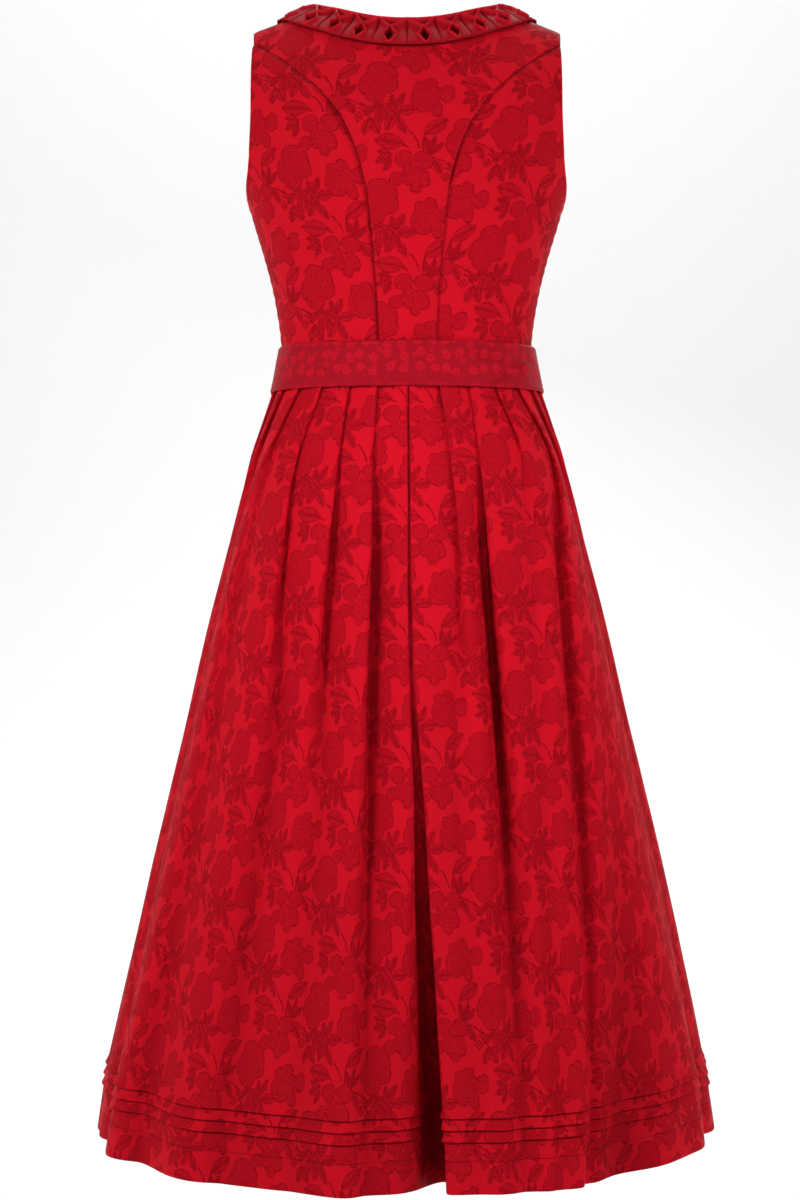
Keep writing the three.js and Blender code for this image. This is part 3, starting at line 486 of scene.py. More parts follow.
def blossomShape(loom, cloth, shift, size):
    pitch = blossomSettings["pitch"]
    moved = loom.move(cloth, shift)
    tile = loom.node("ShaderNodeTexVoronoi", {"voronoi_dimensions": "2D", "feature": "F1"},
                     {"Vector": moved, "Scale": 1 / pitch, "Randomness": 0.55})
    voronoi = tile.socket.node
    local = loom.vector("SUBTRACT", {0: moved, 1: Thread(loom, voronoi.outputs["Position"])})
    spin, _ = loom.parts(Thread(loom, voronoi.outputs["Color"]))
    x, y = loom.parts(local)
    reach = loom.vector("LENGTH", {0: local}, 1)
    angle = x.op("ARCTAN2", y, x) * 2.5 + spin * 6.28
    lobes = abs(angle.op("SINE", angle))
    lobes = lobes.op("POWER", lobes, 0.55)
    inside = size * (0.62 + 0.42 * lobes) - reach
    veins = inside.op("MINIMUM", inside, lobes * reach - 0.35)
    return veins.op("MINIMUM", veins, abs(reach - 1.1) - 0.25)


def makeTieCloth(name, plainStrip):
    loom = Loom(name)
    cloth = loom.place()
    wavy = loom.ruffled(cloth, 0.5, 1, 0.5, 2.2)
    s = blossomSettings
    large = blossomShape(loom, wavy, (0, 0), s["size"])
    small = blossomShape(loom, wavy, (41, 17), s["size"] * 0.62)
    motif = loom.fade(large.op("MAXIMUM", large, small), -0.3, 0.3)
    _, height = loom.parts(cloth)
    if plainStrip:
        above = loom.fade(height, plainStrip - 2, plainStrip + 2)
        motif = motif * (0.12 + 0.88 * above + 0.6 * loom.fade(height, 4.5, 2))
    streaks = loom.noise(loom.move(cloth, (0, 0), 0, (30, 1.0)), 1.0, 2, 0.6)
    cloud = loom.noise(cloth, 0.02)
    ground = loom.blend(streaks * 0.4 + cloud * 0.3, s["ground"], tuple(0.78 * c for c in s["ground"]))
    colour = loom.blend(motif * 0.85, ground, s["blossom"])
    heights = ((weave(loom, cloth, 0.8), 0.00004), (motif, 0.00012))
    return loom.finish(colour, 0.48 + motif * 0.1, heights, IOR=1.24, Specular_IOR_Level=0.4,
                       Specular_Tint=(1.0, 0.14, 0.18))


def makeThreadFinish():
    loom = Loom("sewing_thread")
    local = loom.node("ShaderNodeTexCoord", {}, (), 3)
    twist = loom.noise(local, 900, 1)
    colour = loom.blend(twist, (0.46, 0.02, 0.03), (0.30, 0.01, 0.018))
    return loom.finish(colour, 0.5 + twist * 0.1, (), Specular_IOR_Level=0.4, Specular_Tint=(1.0, 0.3, 0.3))


def makeButtonMetal():
    loom = Loom("button_metal")
    local = loom.node("ShaderNodeTexCoord", {}, (), 3)
    worn = loom.noise(local, 420, 3, 0.7)
    colour = loom.blend(loom.fade(worn, 0.35, 0.7), (0.24, 0.23, 0.22), (0.52, 0.51, 0.49))
    return loom.finish(colour, 0.26 + worn * 0.3, ((worn, 0.00008),), Metallic=1.0)


damask = makeDamask()
satin = makeSatin()
tieCloth = makeTieCloth("tie_cloth", 11)
apronCloth = makeTieCloth("apron_cloth", 0)
sewingThread = makeThreadFinish()
buttonMetal = makeButtonMetal()
print("finishes made")


def clothPiece(name, points, cloth, material, nodes, slotName, thickness=clothThick, painted_shade=0.0):
    rows, columns = points.shape[:2]
    index = np.arange(rows * columns).reshape(rows, columns)
    quads = np.stack([index[:-1, :-1], index[:-1, 1:], index[1:, 1:], index[1:, :-1]], -1).reshape(-1, 4)
    mesh = bpy.data.meshes.new(name)
    mesh.vertices.add(rows * columns)
    mesh.vertices.foreach_set("co", (points * mm).astype(np.float32).ravel())
    mesh.loops.add(quads.size)
    mesh.loops.foreach_set("vertex_index", quads.ravel().astype(np.int32))
    mesh.polygons.add(len(quads))
    mesh.polygons.foreach_set("loop_start", np.arange(0, quads.size, 4, dtype=np.int32))
    layer = mesh.uv_layers.new(name="cloth")
    layer.data.foreach_set("uv", (cloth.reshape(-1, 2)[quads.ravel()] * mm).astype(np.float32).ravel())
    shaded = mesh.attributes.new("painted_shade", "FLOAT", "POINT")  # painted shade: how much a point's colour is darkened for lying deep in a fold, seam groove or tuck, from 0 to 1
    shaded.data.foreach_set("value", np.broadcast_to(painted_shade, (rows, columns)).astype(np.float32).ravel())
    mesh.update(calc_edges=True)
    mesh.validate()
    mesh.polygons.foreach_set("use_smooth", np.ones(len(mesh.polygons), dtype=bool))
    mesh.materials.append(material)
    piece = bpy.data.objects.new(name, mesh)
    scene.collection.objects.link(piece)
    if thickness:
        shell = piece.modifiers.new("cloth thickness", "SOLIDIFY")
        shell.thickness = thickness * mm
        shell.offset = -1
    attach(piece, "root")
    if nodes:
        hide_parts(*nodes)
    return piece


def lengths(points, axis):  # distance run along a grid's rows or columns
    steps = np.linalg.norm(np.diff(points, axis=axis), axis=-1)
    start = np.zeros_like(np.take(steps, [0], axis=axis))
    return np.concatenate([start, np.cumsum(steps, axis=axis)], axis=axis)


# Bodice panels, crowned over the form, with a groove at each seam and a turned edge at each opening
bodiceSettings = {
    "rows": 96,
    "seamDepth": 0.6,
    "allowance": 0.2,
    "pucker": 0.22,
    "puckerPitch": 11,
}


def clothOnForm(places, middle, shift):  # cloth coordinates of places on the bodice
    turn, rise = places[..., 0], places[..., 1]
    steps = 18
    across = np.zeros(turn.shape)
    upward = np.zeros(turn.shape)
    for k in range(steps):
        a = bodicePoint(mix(middle, turn, k / steps), rise)
        b = bodicePoint(mix(middle, turn, (k + 1) / steps), rise)
        across += np.linalg.norm(b - a, axis=-1)
        c = bodicePoint(turn, mix(waistRise, rise, k / steps))
        d = bodicePoint(turn, mix(waistRise, rise, (k + 1) / steps))
        upward += np.linalg.norm(d - c, axis=-1)
    return np.stack([np.sign(turn - middle) * across + shift[0], upward + shift[1]], -1)


def bodicePanel(name, left, right, bottom, top, middle, shift, seams, seed):
    places = patch(left, right, bottom, top)
    form = bodicePoint(places[..., 0], places[..., 1])
    normals = bodiceNormal(places[..., 0], places[..., 1])
    run, climb = lengths(form, 1), lengths(form, 0)
    edges = {"left": run, "right": run[:, -1:] - run, "bottom": climb, "top": climb[-1:] - climb}
    s = bodiceSettings
    out = 0.35 * ripples(form[..., 0] / 40, form[..., 2] / 55, seed)
    painted_shade = 0 * out
    for side, away in edges.items():
        if side in seams:
            out -= s["seamDepth"] * np.exp(-((away / 1.3) ** 2))
            # painted shade along each seam groove
            painted_shade = np.maximum(painted_shade, 0.5 * np.exp(-((away / 0.5) ** 2)))
            out += s["allowance"] * smooth(away, 1, 3) * smooth(away, 11, 8)
            wave = climb if side in ("left", "right") else run
            beat = np.sin(wave / s["puckerPitch"] * 2 * np.pi + 2.2 * ripples(wave / 60, away * 0, seed + 5))
            out += s["pucker"] * beat * smooth(away, 22, 2)
        else:
            out += 0.5 * smooth(away, 9, 6) - 1.0 * smooth(away, 1.5, 0)
    points = form + normals * (clothThick / 2 + out)[..., None]
    cloth = clothOnForm(places, middle, shift)
    piece = clothPiece(f"{name}_cloth", points, cloth, damask, [name], "damask", painted_shade=painted_shade)
    return piece, places, points, normals


def frontOf(place):
    return (180 - place[0], place[1])


def waistLine(start, end, count):
    return np.stack([np.linspace(start, end, count + 1), np.full(count + 1, waistRise, float)], -1)


def flip(places, side):
    return places * np.array([side, 1.0])


rows = bodiceSettings["rows"]
backTip = (bodicePlace(shoulderTipX, float(ridge(shoulderTipX)), False)[0], archLength)
neckPoint = (bodicePlace(neckPointX, float(ridge(neckPointX)), False)[0], archLength)
underarm = (90, underarmZ - archBase)
sideSeam = trace([(90, waistRise), (90, -150), underarm], rows)
backSeamLine = trace(placesOf(backSeam, False), rows)
frontSeamLine = trace(placesOf(frontSeam, True), rows)
shoulderLine = trace([backTip, neckPoint], 32)
backNeckPlaces = np.array([neckPoint, *placesOf(backNeck, False)[::-1]])
frontNeckPlaces = np.array([frontOf(neckPoint), *placesOf(frontNeck, True)[::-1]])
backNeckLine = trace(backNeckPlaces, 40)
frontNeckLine = trace(frontNeckPlaces, 52)
bodicePieces = {}

tipRows = 10
seamPart = trace(placesOf(backSeam, False), rows - tipRows)
tipPart = np.stack([np.linspace(seamPart[-1, k], backTip[k], tipRows + 1) for k in (0, 1)], -1)
rightEdge = np.concatenate([seamPart, tipPart[1:]])
half = np.concatenate([shoulderLine, backNeckLine[1:]])
topEdge = np.concatenate([flip(half, -1), half[:-1][::-1]])
bottomEdge = waistLine(-rightEdge[0, 0], rightEdge[0, 0], len(topEdge) - 1)
bodicePieces["bodice_back_centre"] = bodicePanel(
    "bodice_back_centre", flip(rightEdge, -1), rightEdge, bottomEdge, topEdge, 0, (-4, 47),
    ("left", "right"), 3)

for side, tag in ((1, "r"), (-1, "l")):
    backTop = trace(np.array([*placesOf(backArmhole, False), underarm]), 44)
    bottom = waistLine(backSeamLine[0, 0], 90, 44)
    bodicePieces[f"bodice_back_side_{tag}"] = bodicePanel(
        f"bodice_back_side_{tag}", flip(backSeamLine, side), flip(sideSeam, side), flip(bottom, side),
        flip(backTop, side), 45 * side, (60 * side + 19, 31 if side > 0 else 9), ("left", "right"), 11 + side)
    frontTop = trace(np.array([underarm, *placesOf(frontArmhole, True)[::-1]]), 44)
    bottom = waistLine(90, frontSeamLine[0, 0], 44)
    bodicePieces[f"bodice_front_side_{tag}"] = bodicePanel(
        f"bodice_front_side_{tag}", flip(sideSeam, side), flip(frontSeamLine, side), flip(bottom, side),
        flip(frontTop, side), 125 * side, (20 * side, 70), ("left", "right"), 17 + side)
    armholeTop = trace(np.array([*placesOf(frontArmholeTop, True), frontOf(backTip)]), 40)
    outer = np.concatenate([frontSeamLine, armholeTop[1:]])
    upright = np.array([(180, waistRise), tuple(frontNeckLine[-1])])
    centreFront = trace(upright, len(outer) - len(frontNeckLine))
    inner = np.concatenate([centreFront, frontNeckLine[::-1][1:]])
    top = np.array([frontOf(p) for p in trace([backTip, neckPoint], 40)])
    bottom = waistLine(frontSeamLine[0, 0], 180, 40)
    bodicePieces[f"bodice_front_{tag}"] = bodicePanel(
        f"bodice_front_{tag}", flip(outer, side), flip(inner, side), flip(bottom, side), flip(top, side),
        165 * side, (35 * side, 12), ("left",), 23 + side)
print("bodice sewn")

# Neck trim: a satin strip folded into a row of small diamonds
trimSettings = {
    "width": 35,
    "drawn": 29,  # depth and pitch that a unit is drawn at, before it is laid
    "pitch": 30,
    "laid": 26,
    "rim": 5.6,
    "lip": 3.6,
    "base": 2.6,
    "rowsDown": 38,
    "perUnit": 32,
}


def nearLine(s, t, a, b):  # distance to a stretch of line
    ab = np.array(b, float) - np.array(a, float)
    share = np.clip(((s - a[0]) * ab[0] + (t - a[1]) * ab[1]) / (ab @ ab), 0, 1)
    return np.hypot(s - a[0] - share * ab[0], t - a[1] - share * ab[1])


def trimRelief(s, t):  # height and painted shade of one folded unit: s across from its middle, t down, in millimetres
    side = np.abs(s)
    form = trimSettings
    cross, mouth, foot = 11.5, 18.5, 28
    lipTop = nearLine(side, t, (15, 2.5), (0, cross))
    lipDown = nearLine(side, t, (0, cross), (6.6, mouth))
    lipFoot = nearLine(side, t, (6.6, mouth), (0.4, foot))
    lips = np.minimum(np.minimum(lipTop, lipDown), lipFoot)
    height = form["base"] + form["lip"] * np.exp(-((lips / 0.8) ** 2)) + 1.6 * np.exp(-lips / 2.4)
    aboveCross = smooth(cross - t - side * (cross - 2.5) / 15, 0, 2.5)
    grooves = 0.5 + 0.5 * np.cos(s * 2 * np.pi / 3.6)
    height -= aboveCross * 1.3 * grooves * smooth(t, 2, 4.5)
    half = np.where(t < mouth, (t - cross) * 6.6 / 7, (foot - t) * 6.6 / 9.5)
    height -= smooth(half - side, 0, 1.6) * (3.0 + 1.4 * np.exp(-((side / 0.9) ** 2)) * smooth(t, 15, 19))
    below = smooth(t - (cross - side * (cross - 2.5) / 15), 0, 3)
    height += smooth(side - half, 0.5, 4) * below * (0.7 + 1.0 * smooth(t, 10, 26))
    height -= 1.6 * below * np.exp(-(((15 - side) / 1.2) ** 2))
    height -= 1.8 * np.exp(-(((t - 2.6) / 0.6) ** 2)) + 2.6 * smooth(t, 27.8, 29) + 1.6 * smooth(t, 0.9, 0)
    height = mix(form["rim"], height, smooth(t, 1.8, 3.8)) - 1.4 * smooth(t, 0.9, 0)
    # painted shade: darkens the flats, more in the pockets, and is left off the lips and the top rim
    paintedPocketShade = np.clip((3.4 - height) / 2.6, 0, 1)
    away = 1 - np.exp(-((lips / 0.85) ** 2))
    return np.maximum(height, 0.25), smooth(t, 1.8, 3.8) * away * (0.48 + 0.5 * paintedPocketShade)


def stepOn(turn, rise, direction, distance):
    here = bodicePoint(turn, rise)
    down = np.where(rise > archLength - 2, -1.0, 1.0)
    perTurn = (bodicePoint(turn + 0.5, rise) - here) * 2
    perRise = (bodicePoint(turn, rise + down) - here) * down[:, None]
    move = direction / np.linalg.norm(direction, axis=-1, keepdims=True) * distance
    tt, rr, tr = (np.sum(a * b, -1) for a, b in ((perTurn, perTurn), (perRise, perRise), (perTurn, perRise)))
    mt, mr = np.sum(move * perTurn, -1), np.sum(move * perRise, -1)
    area = tt * rr - tr * tr
    return turn + (mt * rr - mr * tr) / area, rise + (mr * tt - mt * tr) / area


def trimStrip(name, places, units, side, seed):
    s = trimSettings
    line = trace(places, units * s["perUnit"])
    turn, rise = line[:, 0].copy(), line[:, 1].copy()
    start = bodicePoint(turn, rise)
    run = np.gradient(start, axis=0)
    layers = [(turn, rise)]
    for _ in range(s["rowsDown"]):
        down = np.cross(bodiceNormal(turn, rise), run) * side
        turn, rise = stepOn(turn, rise, down, s["width"] / s["rowsDown"])
        rise = np.where(line[:, 1] > archLength - 0.1, archLength, np.minimum(rise, archLength - 0.3))
        turn = np.where(np.abs(line[:, 0]) > 179.9, line[:, 0], turn)
        layers.append((turn, rise))
    turns = np.array([a for a, _ in layers])
    rises = np.array([b for _, b in layers])
    form = bodicePoint(turns, rises)
    normals = bodiceNormal(turns, rises)
    across = np.arange(turns.shape[1]) / s["perUnit"]
    unit = np.minimum(np.floor(across), units - 1)
    chance = np.random.default_rng(seed)
    skew = chance.uniform(-1.3, 1.3, units)[unit.astype(int)]
    local = (across - unit - 0.5) * s["pitch"]
    down = np.linspace(0, s["drawn"], turns.shape[0])[:, None]
    bend = skew * np.sin(down / s["drawn"] * np.pi) * np.cos(local / s["pitch"] * np.pi)
    sunk = down + 0.5 * smooth(down, 2, 6) * ripples(across * 2.0 + 0 * down, down / 9, seed + 2)
    # the second value is painted shade for the folded trim
    relief, paintedFoldShade = trimRelief(local + bend, sunk)
    relief += 0.1 * ripples(across * 12, down / 3, seed + 1)
    points = form + normals * (clothThick / 2 + 0.4 + relief)[..., None]
    cloth = np.stack([across * s["pitch"] * 1.6 + 0 * down, -down * 1.2 + 0 * across], -1)
    if side < 0:
        points, cloth, paintedFoldShade = points[::-1], cloth[::-1], paintedFoldShade[::-1]
    return clothPiece(f"{name}_folds", points, cloth, satin, [name], "trim", 0.8, paintedFoldShade)


def reachOf(places):
    return np.sum(np.linalg.norm(np.diff(bodicePoint(places[:, 0], places[:, 1]), axis=0), axis=1))


neckPieces = []
backUnits = 2 * round(reachOf(backNeckPlaces) / trimSettings["laid"])
backWhole = np.concatenate([flip(backNeckPlaces, -1), backNeckPlaces[:-1][::-1]])
neckPieces.append(trimStrip("neckline_trim_back", backWhole, backUnits, -1, 41))
for side, tag in ((1, "r"), (-1, "l")):
    units = round(reachOf(frontNeckPlaces) / trimSettings["laid"])
    laid = flip(frontNeckPlaces, side)
    neckPieces.append(trimStrip(f"neckline_trim_front_{tag}", laid, units, -side, 43 + side))
print("neck trim folded")

# Skirt: knife pleats from the waist, a box pleat at the centre back, soft folds, three tucks and a turned hem
pleatHeights = [20, 90, 190, 350, 767]
pleats = [  # side, turns at those heights, where the lap opens and is gone, how far the cloth falls in
    (-1, (108, 111, 113, 114, 114), 70, 140, (0, 0, 2, 3, 3)),
    (-1, (94, 99, 102, 103, 103), 90, 180, (0, 0, 2, 3, 3)),
    (-1, (80, 88, 91, 92, 91), 80, 150, (0, 0, 2, 3, 3)),
    (-1, (66, 76, 79, 79, 78), 90, 170, (0, 0, 3, 5, 4)),
    (-1, (51.5, 61.5, 63.5, 61, 59), 80, 150, (0, 0, 5, 7, 5)),
    (-1, (37.5, 42.5, 41, 37, 36), 210, 350, (0, 0, 6, 12, 5)),
    (-1, (24, 24, 23.7, 22.8, 21.5), 260, 400, (0, 0, 10, 11, 3)),
    (-1, (11.8, 11.3, 9.9, 9.2, 8), 400, 900, (0, 0, 13, 16, 12)),
    (1, (12.8, 14.6, 15.1, 14, 13), 220, 350, (0, 0, 4, 9, 5)),
    (1, (25.8, 25.6, 24.8, 24.3, 21.5), 330, 520, (0, 0, 18, 24, 6)),
    (1, (39.3, 46.5, 43, 36, 27), 80, 150, (0, 0, 4, 4, 2)),
    (1, (54, 67.5, 57, 48, 33), 160, 900, (0, 0, 9, 12, 10)),
    (1, (67, 79, 80, 79, 77), 90, 170, (0, 0, 3, 4, 3)),
    (1, (80, 89, 92, 92, 91), 80, 160, (0, 0, 3, 4, 3)),
    (1, (94, 99, 102, 103, 103), 90, 180, (0, 0, 2, 3, 3)),
    (1, (108, 111, 113, 114, 114), 70, 140, (0, 0, 2, 3, 3)),
]
boxTurn = {"drop": [0, 290, 410, 590, 767], "turn": [0.3, 0.8, 2.4, 3.6, 5]}
boxCorners = [  # turn and height of each corner at the waist, and the same at the hem
              (-0.35, 1, -5.4, -11), (-0.35, 0.15, -3.6, -27), (-4.2, -0.15, -1.8, -47), (-4.2, -1, 0.4, -64),
              (0, -1, 1.9, -64), (4.2, -1, 3.4, -60), (4.2, -0.15, 3, -36), (0.35, 0.15, 1.2, -18),
              (0.35, 1, 0.2, -6)]
boxOpens = 300
softFolds = [  # drop where a fold starts, turns high and low, half width in degrees, how far out it stands
    (350, -9.5, -9, 5, 11), (330, -27, -26, 8, -8), (300, -43, -42, 7, 7), (420, -54, -53, 5, -6),
    (380, -64, -66, 5, 11), (450, -76, -77, 5, -14), (300, 50, 29, 6, 7), (300, 56, 37, 5, -15),
    (350, 60, 50, 6, 5), (400, 67, 63, 5, 9), (480, 78, 74, 5, -12), (260, 104, 105, 8, -9),
    (300, 122, 122, 8, 9), (340, 139, 140, 8, -8), (260, 158, 157, 8, 8), (300, 175, 174, 8, -7),
    (280, -168, -169, 8, 8), (330, -150, -151, 8, -9), (260, -132, -133, 8, 9), (320, -114, -114, 8, -8),
    (340, -98, -97, 7, 6),
]
frontTurns = [120, 130, 140, 149, 158, 167, 175]
skirtSettings = {
    "rowStep": 8,
    "columnStep": 2.1,
    "tucks": (-1058, -1068.5, -1079),
    "tuckOut": 1.0,
    "gatherWiden": 0.24,
    "foldShade": 0.55,
    "softening": 4,
    "faceEase": 1.7,
}


def softFoldOut(turn, drop):
    total = np.zeros(np.broadcast(turn, drop).shape)
    for start, high, low, width, out in softFolds:
        grown = smooth(drop, start, skirtLength + 120)
        away = (turn - mix(high, low, grown) + 180) % 360 - 180
        total += out * 1.25 * grown * np.exp(-((away / width) ** 2))
    return total


def hemLift(turn, drop):
    sideways, frontways = smooth(np.abs(turn), 15, 75), smooth(np.abs(turn), 95, 180)
    most = np.where(turn > 0, 18.0, 9.0)
    return (most * sideways - (most - 5) * frontways) * (np.clip(drop, 0, None) / skirtLength) ** 1.5


def skirtPoint(turn, drop, out):
    z = waistSeam - drop
    return ringPoint(skirtRings, turn, z, out + softFoldOut(turn, drop), z + hemLift(turn, drop))


def pleatCorners(side, turns, opens, gone, falls, drop, radius):
    table = {"drop": pleatHeights, "turn": turns, "fall": falls}
    line = float(along(table, "drop", min(max(drop, 20), skirtLength), "turn"))
    fall = float(along(table, "drop", min(max(drop, 20), skirtLength), "fall"))
    steps = {"drop": [0, 60, max(70, opens), max(140, gone)], "step": [2.1, 2.4, 3.2, 0.1]}
    half = float(along(steps, "drop", drop, "step"))
    lap = 9 * (1 - drop / opens) if drop <= opens else -20 * min(1, (drop - opens) / (gone - opens))
    under, spread = np.degrees(max(lap, 0) / radius), np.degrees(max(-lap, 0) / radius)
    level = 0.15 + 0.2 * min(1, max(-lap, 0) / 20)
    corners = [(line + spread / 2, half), (line + spread / 6, level * half - fall * 0.3),
               (line + under - spread / 6, -level * half - fall * 0.8),
               (line + under - spread / 2, -half - fall),
               (line - spread / 2 - np.degrees(2 / radius), -0.9 * half - fall)]
    return [(-t, o) for t, o in corners] if side < 0 else corners[::-1]


def skirtSection(drop):
    z = waistSeam - drop
    radius = float(along(skirtRings, "z", z, "half") + along(skirtRings, "z", z, "back")) / 2
    folded = [pleatCorners(*pleat, drop, radius) for pleat in pleats]
    centre = float(along(boxTurn, "drop", drop, "turn"))
    opened = min(max((drop - boxOpens) / (skirtLength - boxOpens), 0), 1) ** 1.2
    narrow = 125 / radius if drop < boxOpens else 0.62
    box = [(centre + mix(t * narrow, ht, opened), mix(o * 2.4, ho, opened)) for t, o, ht, ho in boxCorners]
    plain = [(t, 0) for t in frontTurns]
    middle = len(pleats) // 2
    return ([(-180, 0)] + [(-t, 0) for t, _ in plain[::-1]] + [c for p in folded[:middle] for c in p] + box
            + [c for p in folded[middle:] for c in p] + plain + [(180, 0)])


def skirtRowsDown():  # drops below the waist, how far the cloth stands out there, and how much painted shade darkens it
    s = skirtSettings
    plain = np.linspace(0.3, waistSeam - s["tucks"][0] - 13, int(690 / s["rowStep"]))
    rows = [(drop, 0, 0) for drop in plain]
    # painted shadow: the rows just under each tuck's fold edge are darkened
    tuck = ((-8.4, 0.1, 0), (-7, 0.5, 0), (-4, 1.3, 0), (-1.8, 2.0, 0), (-0.5, 2.2, 0), (0, 1.9, 0.3),
            (-0.1, 1.0, 0.9), (-0.6, 0.1, 1), (0.9, -0.1, 0.9), (1.8, 0, 0))
    for z in s["tucks"]:
        rows += [(waistSeam - z + back, out * s["tuckOut"], paintedShadow) for back, out, paintedShadow in tuck]
    last = waistSeam - s["tucks"][2]
    rows += [(drop, 0, 0) for drop in np.linspace(last + 6, skirtLength - 30, 3)]
    # painted shade along the hem's stitch line and over the turned-up layer inside
    turned = ((-29, -0.35, 0.5), (-28, 0.05, 0), (-20, 0.3, 0), (-10, 0.3, 0), (-2, 0.35, 0), (0, 0, 0),
              (0.1, -1, 0.3), (-1, -1.9, 0.5), (-10, -2, 0.5), (-20, -2, 0.5), (-28, -1.9, 0.5))
    return rows + [(skirtLength + back, out, paintedShadow) for back, out, paintedShadow in turned]


def roundCorners(grid, share):  # cuts each corner of the section once
    first, second = grid[:, :-1], grid[:, 1:]
    early, late = mix(first, second, share), mix(first, second, 1 - share)
    cut = np.stack([early, late], 2).reshape(grid.shape[0], -1, *grid.shape[2:])
    return np.concatenate([grid[:, :1], cut[:, 1:-1], grid[:, -1:]], 1)


def buildSkirt():
    s = skirtSettings
    rows = skirtRowsDown()
    drops = np.array([r[0] for r in rows])
    raised = np.array([r[1] for r in rows])
    paintedShadowRows = np.array([r[2] for r in rows])
    sections = np.array([skirtSection(d) for d in drops])
    spans = np.abs(np.diff(sections[..., 0], axis=1)).max(0)
    pieces = np.maximum(1, np.ceil(spans / s["columnStep"])).astype(int)
    label = [0.0]
    columns = [sections[:, :1]]
    for k, count in enumerate(pieces):
        for j in range(1, count + 1):
            share = np.array([j / count, j / count])
            if count > 3:  # a face comes forward soon after the fold that it falls in from
                leftFace = k < (len(sections[0]) - 1) / 2
                share[1] = 1 - (1 - j / count) ** s["faceEase"] if leftFace else (j / count) ** s["faceEase"]
            columns.append(mix(sections[:, k:k + 1], sections[:, k + 1:k + 2], share))
            label.append(k + j / count)
    dense = np.concatenate(columns, 1)
    label = np.array(label)[None, :, None]

    # softer lower down, crisp at the waist
    turns, outs = dense[..., 0], dense[..., 1]
    points = skirtPoint(turns, drops[:, None] + 0 * turns, outs)
    soften = smooth(drops, 60, 620)[:, None, None]
    for _ in range(s["softening"]):
        middle = (points[:, :-2] + points[:, 2:]) / 2
        points[:, 1:-1] = mix(points[:, 1:-1], middle, 0.5 * soften)
    points = roundCorners(points, 0.25)
    label = roundCorners(label, 0.25)[0, :, 0]

    # cloth coordinates, measured from the fold that each face hangs from
    run = lengths(points[..., :2], 1)
    widen = 1 + s["gatherWiden"] * smooth(drops, 150, 650)
    run = run * widen[:, None]
    plainCount = len(frontTurns) + 1
    middle = len(pleats) // 2
    boxStart = plainCount + 5 * middle
    boxEnd = boxStart + len(boxCorners) - 1

    def at(corner):
        return int(np.argmin(np.abs(label - corner)))

    stretches = [(at(0), at(plainCount), at(plainCount))]  # first and last column, and the fold edge's
    for k in range(middle):
        start = at(plainCount + 5 * k + 4)
        crest = at(plainCount + 5 * (k + 1)) if k < middle - 1 else at(boxStart)
        stretches.append((start, crest, crest))
    for k in range(middle):
        crest = at(boxEnd) if k == 0 else at(boxEnd + 5 * k)
        stretches.append((crest, at(boxEnd + 5 * k + 1), crest))
    stretches.append((at(boxEnd + 5 * middle), len(label) - 1, at(boxEnd + 5 * middle)))
    hem = int(np.argmax(drops))
    crests = [crest for _, _, crest in stretches]
    spacing = [(run[:, b] - run[:, a]).max() for a, b in zip(crests, crests[1:])]
    folds = np.concatenate([[0], np.cumsum(spacing)])  # cloth coordinate of each fold edge
    across = np.full(run.shape, np.nan)
    for (first, final, crest), at0 in zip(stretches, folds):
        across[:, first:final + 1] = at0 + run[:, first:final + 1] - run[:, crest:crest + 1]
    columnIndex = np.arange(run.shape[1])
    for row, values in enumerate(across):
        known = ~np.isnan(values)
        hidden = np.interp(columnIndex, columnIndex[known], values[known])
        spreadOut = np.interp(run[row], run[row, crests], folds)
        spreadOut += np.minimum(run[row] - run[row, crests[0]], 0)
        spreadOut += np.maximum(run[row] - run[row, crests[-1]], 0)
        across[row] = mix(np.where(known, values, hidden), spreadOut, float(smooth(drops[row], 120, 480)))
    down = np.concatenate([[0], np.cumsum(np.hypot(np.diff(drops) * 1.03, np.diff(raised)))])
    centred = across - across[hem, at((boxStart + boxEnd) / 2)]
    cloth = np.stack([centred, np.broadcast_to(-down[:, None], across.shape)], -1)

    # uneven hang
    normals = gridNormals(points)
    if np.sum(normals[len(drops) // 2] * points[len(drops) // 2] * [1, 1, 0]) < 0:
        normals = -normals
    flat = normals * [1, 1, 0]
    flat /= np.maximum(np.linalg.norm(flat, axis=-1, keepdims=True), 1e-6)
    for k in range(1, len(drops) - 1):  # where the cloth turns back on itself it keeps facing as it did
        if min(drops[k] - drops[k - 1], drops[k + 1] - drops[k]) < 0.7:
            flat[k] = flat[k - 1]
    flat[-1] = flat[-2]
    out = raised[:, None] + clothThick / 2
    out = out + 1.1 * smooth(drops, 60, 500)[:, None] * ripples(cloth[..., 0] / 70, cloth[..., 1] / 190, 61)
    out = out + 0.35 * smooth(drops, 20, 200)[:, None] * ripples(cloth[..., 0] / 22, cloth[..., 1] / 60, 62)
    # painted shade in the folds: the further a point lies in behind the nearest crests, the darker its colour
    reach = np.hypot(points[..., 0], points[..., 1])
    crestReach = reach.copy()
    for shift in range(1, 16):
        crestReach[:, shift:] = np.maximum(crestReach[:, shift:], reach[:, :-shift])
        crestReach[:, :-shift] = np.maximum(crestReach[:, :-shift], reach[:, shift:])
    paintedFoldShade = np.clip((crestReach - reach - 2) / 26, 0, 1) ** 1.2 * s["foldShade"]
    painted_shade = np.maximum(paintedFoldShade, paintedShadowRows[:, None])
    points = points + flat * out[..., None]
    cuts = [0, at(plainCount + 5 * 3 - 1), at((boxStart + boxEnd) / 2), at(boxEnd + 5 * (middle - 3) + 1),
            len(label) - 1]
    return points, cloth, painted_shade, flat, drops, cuts


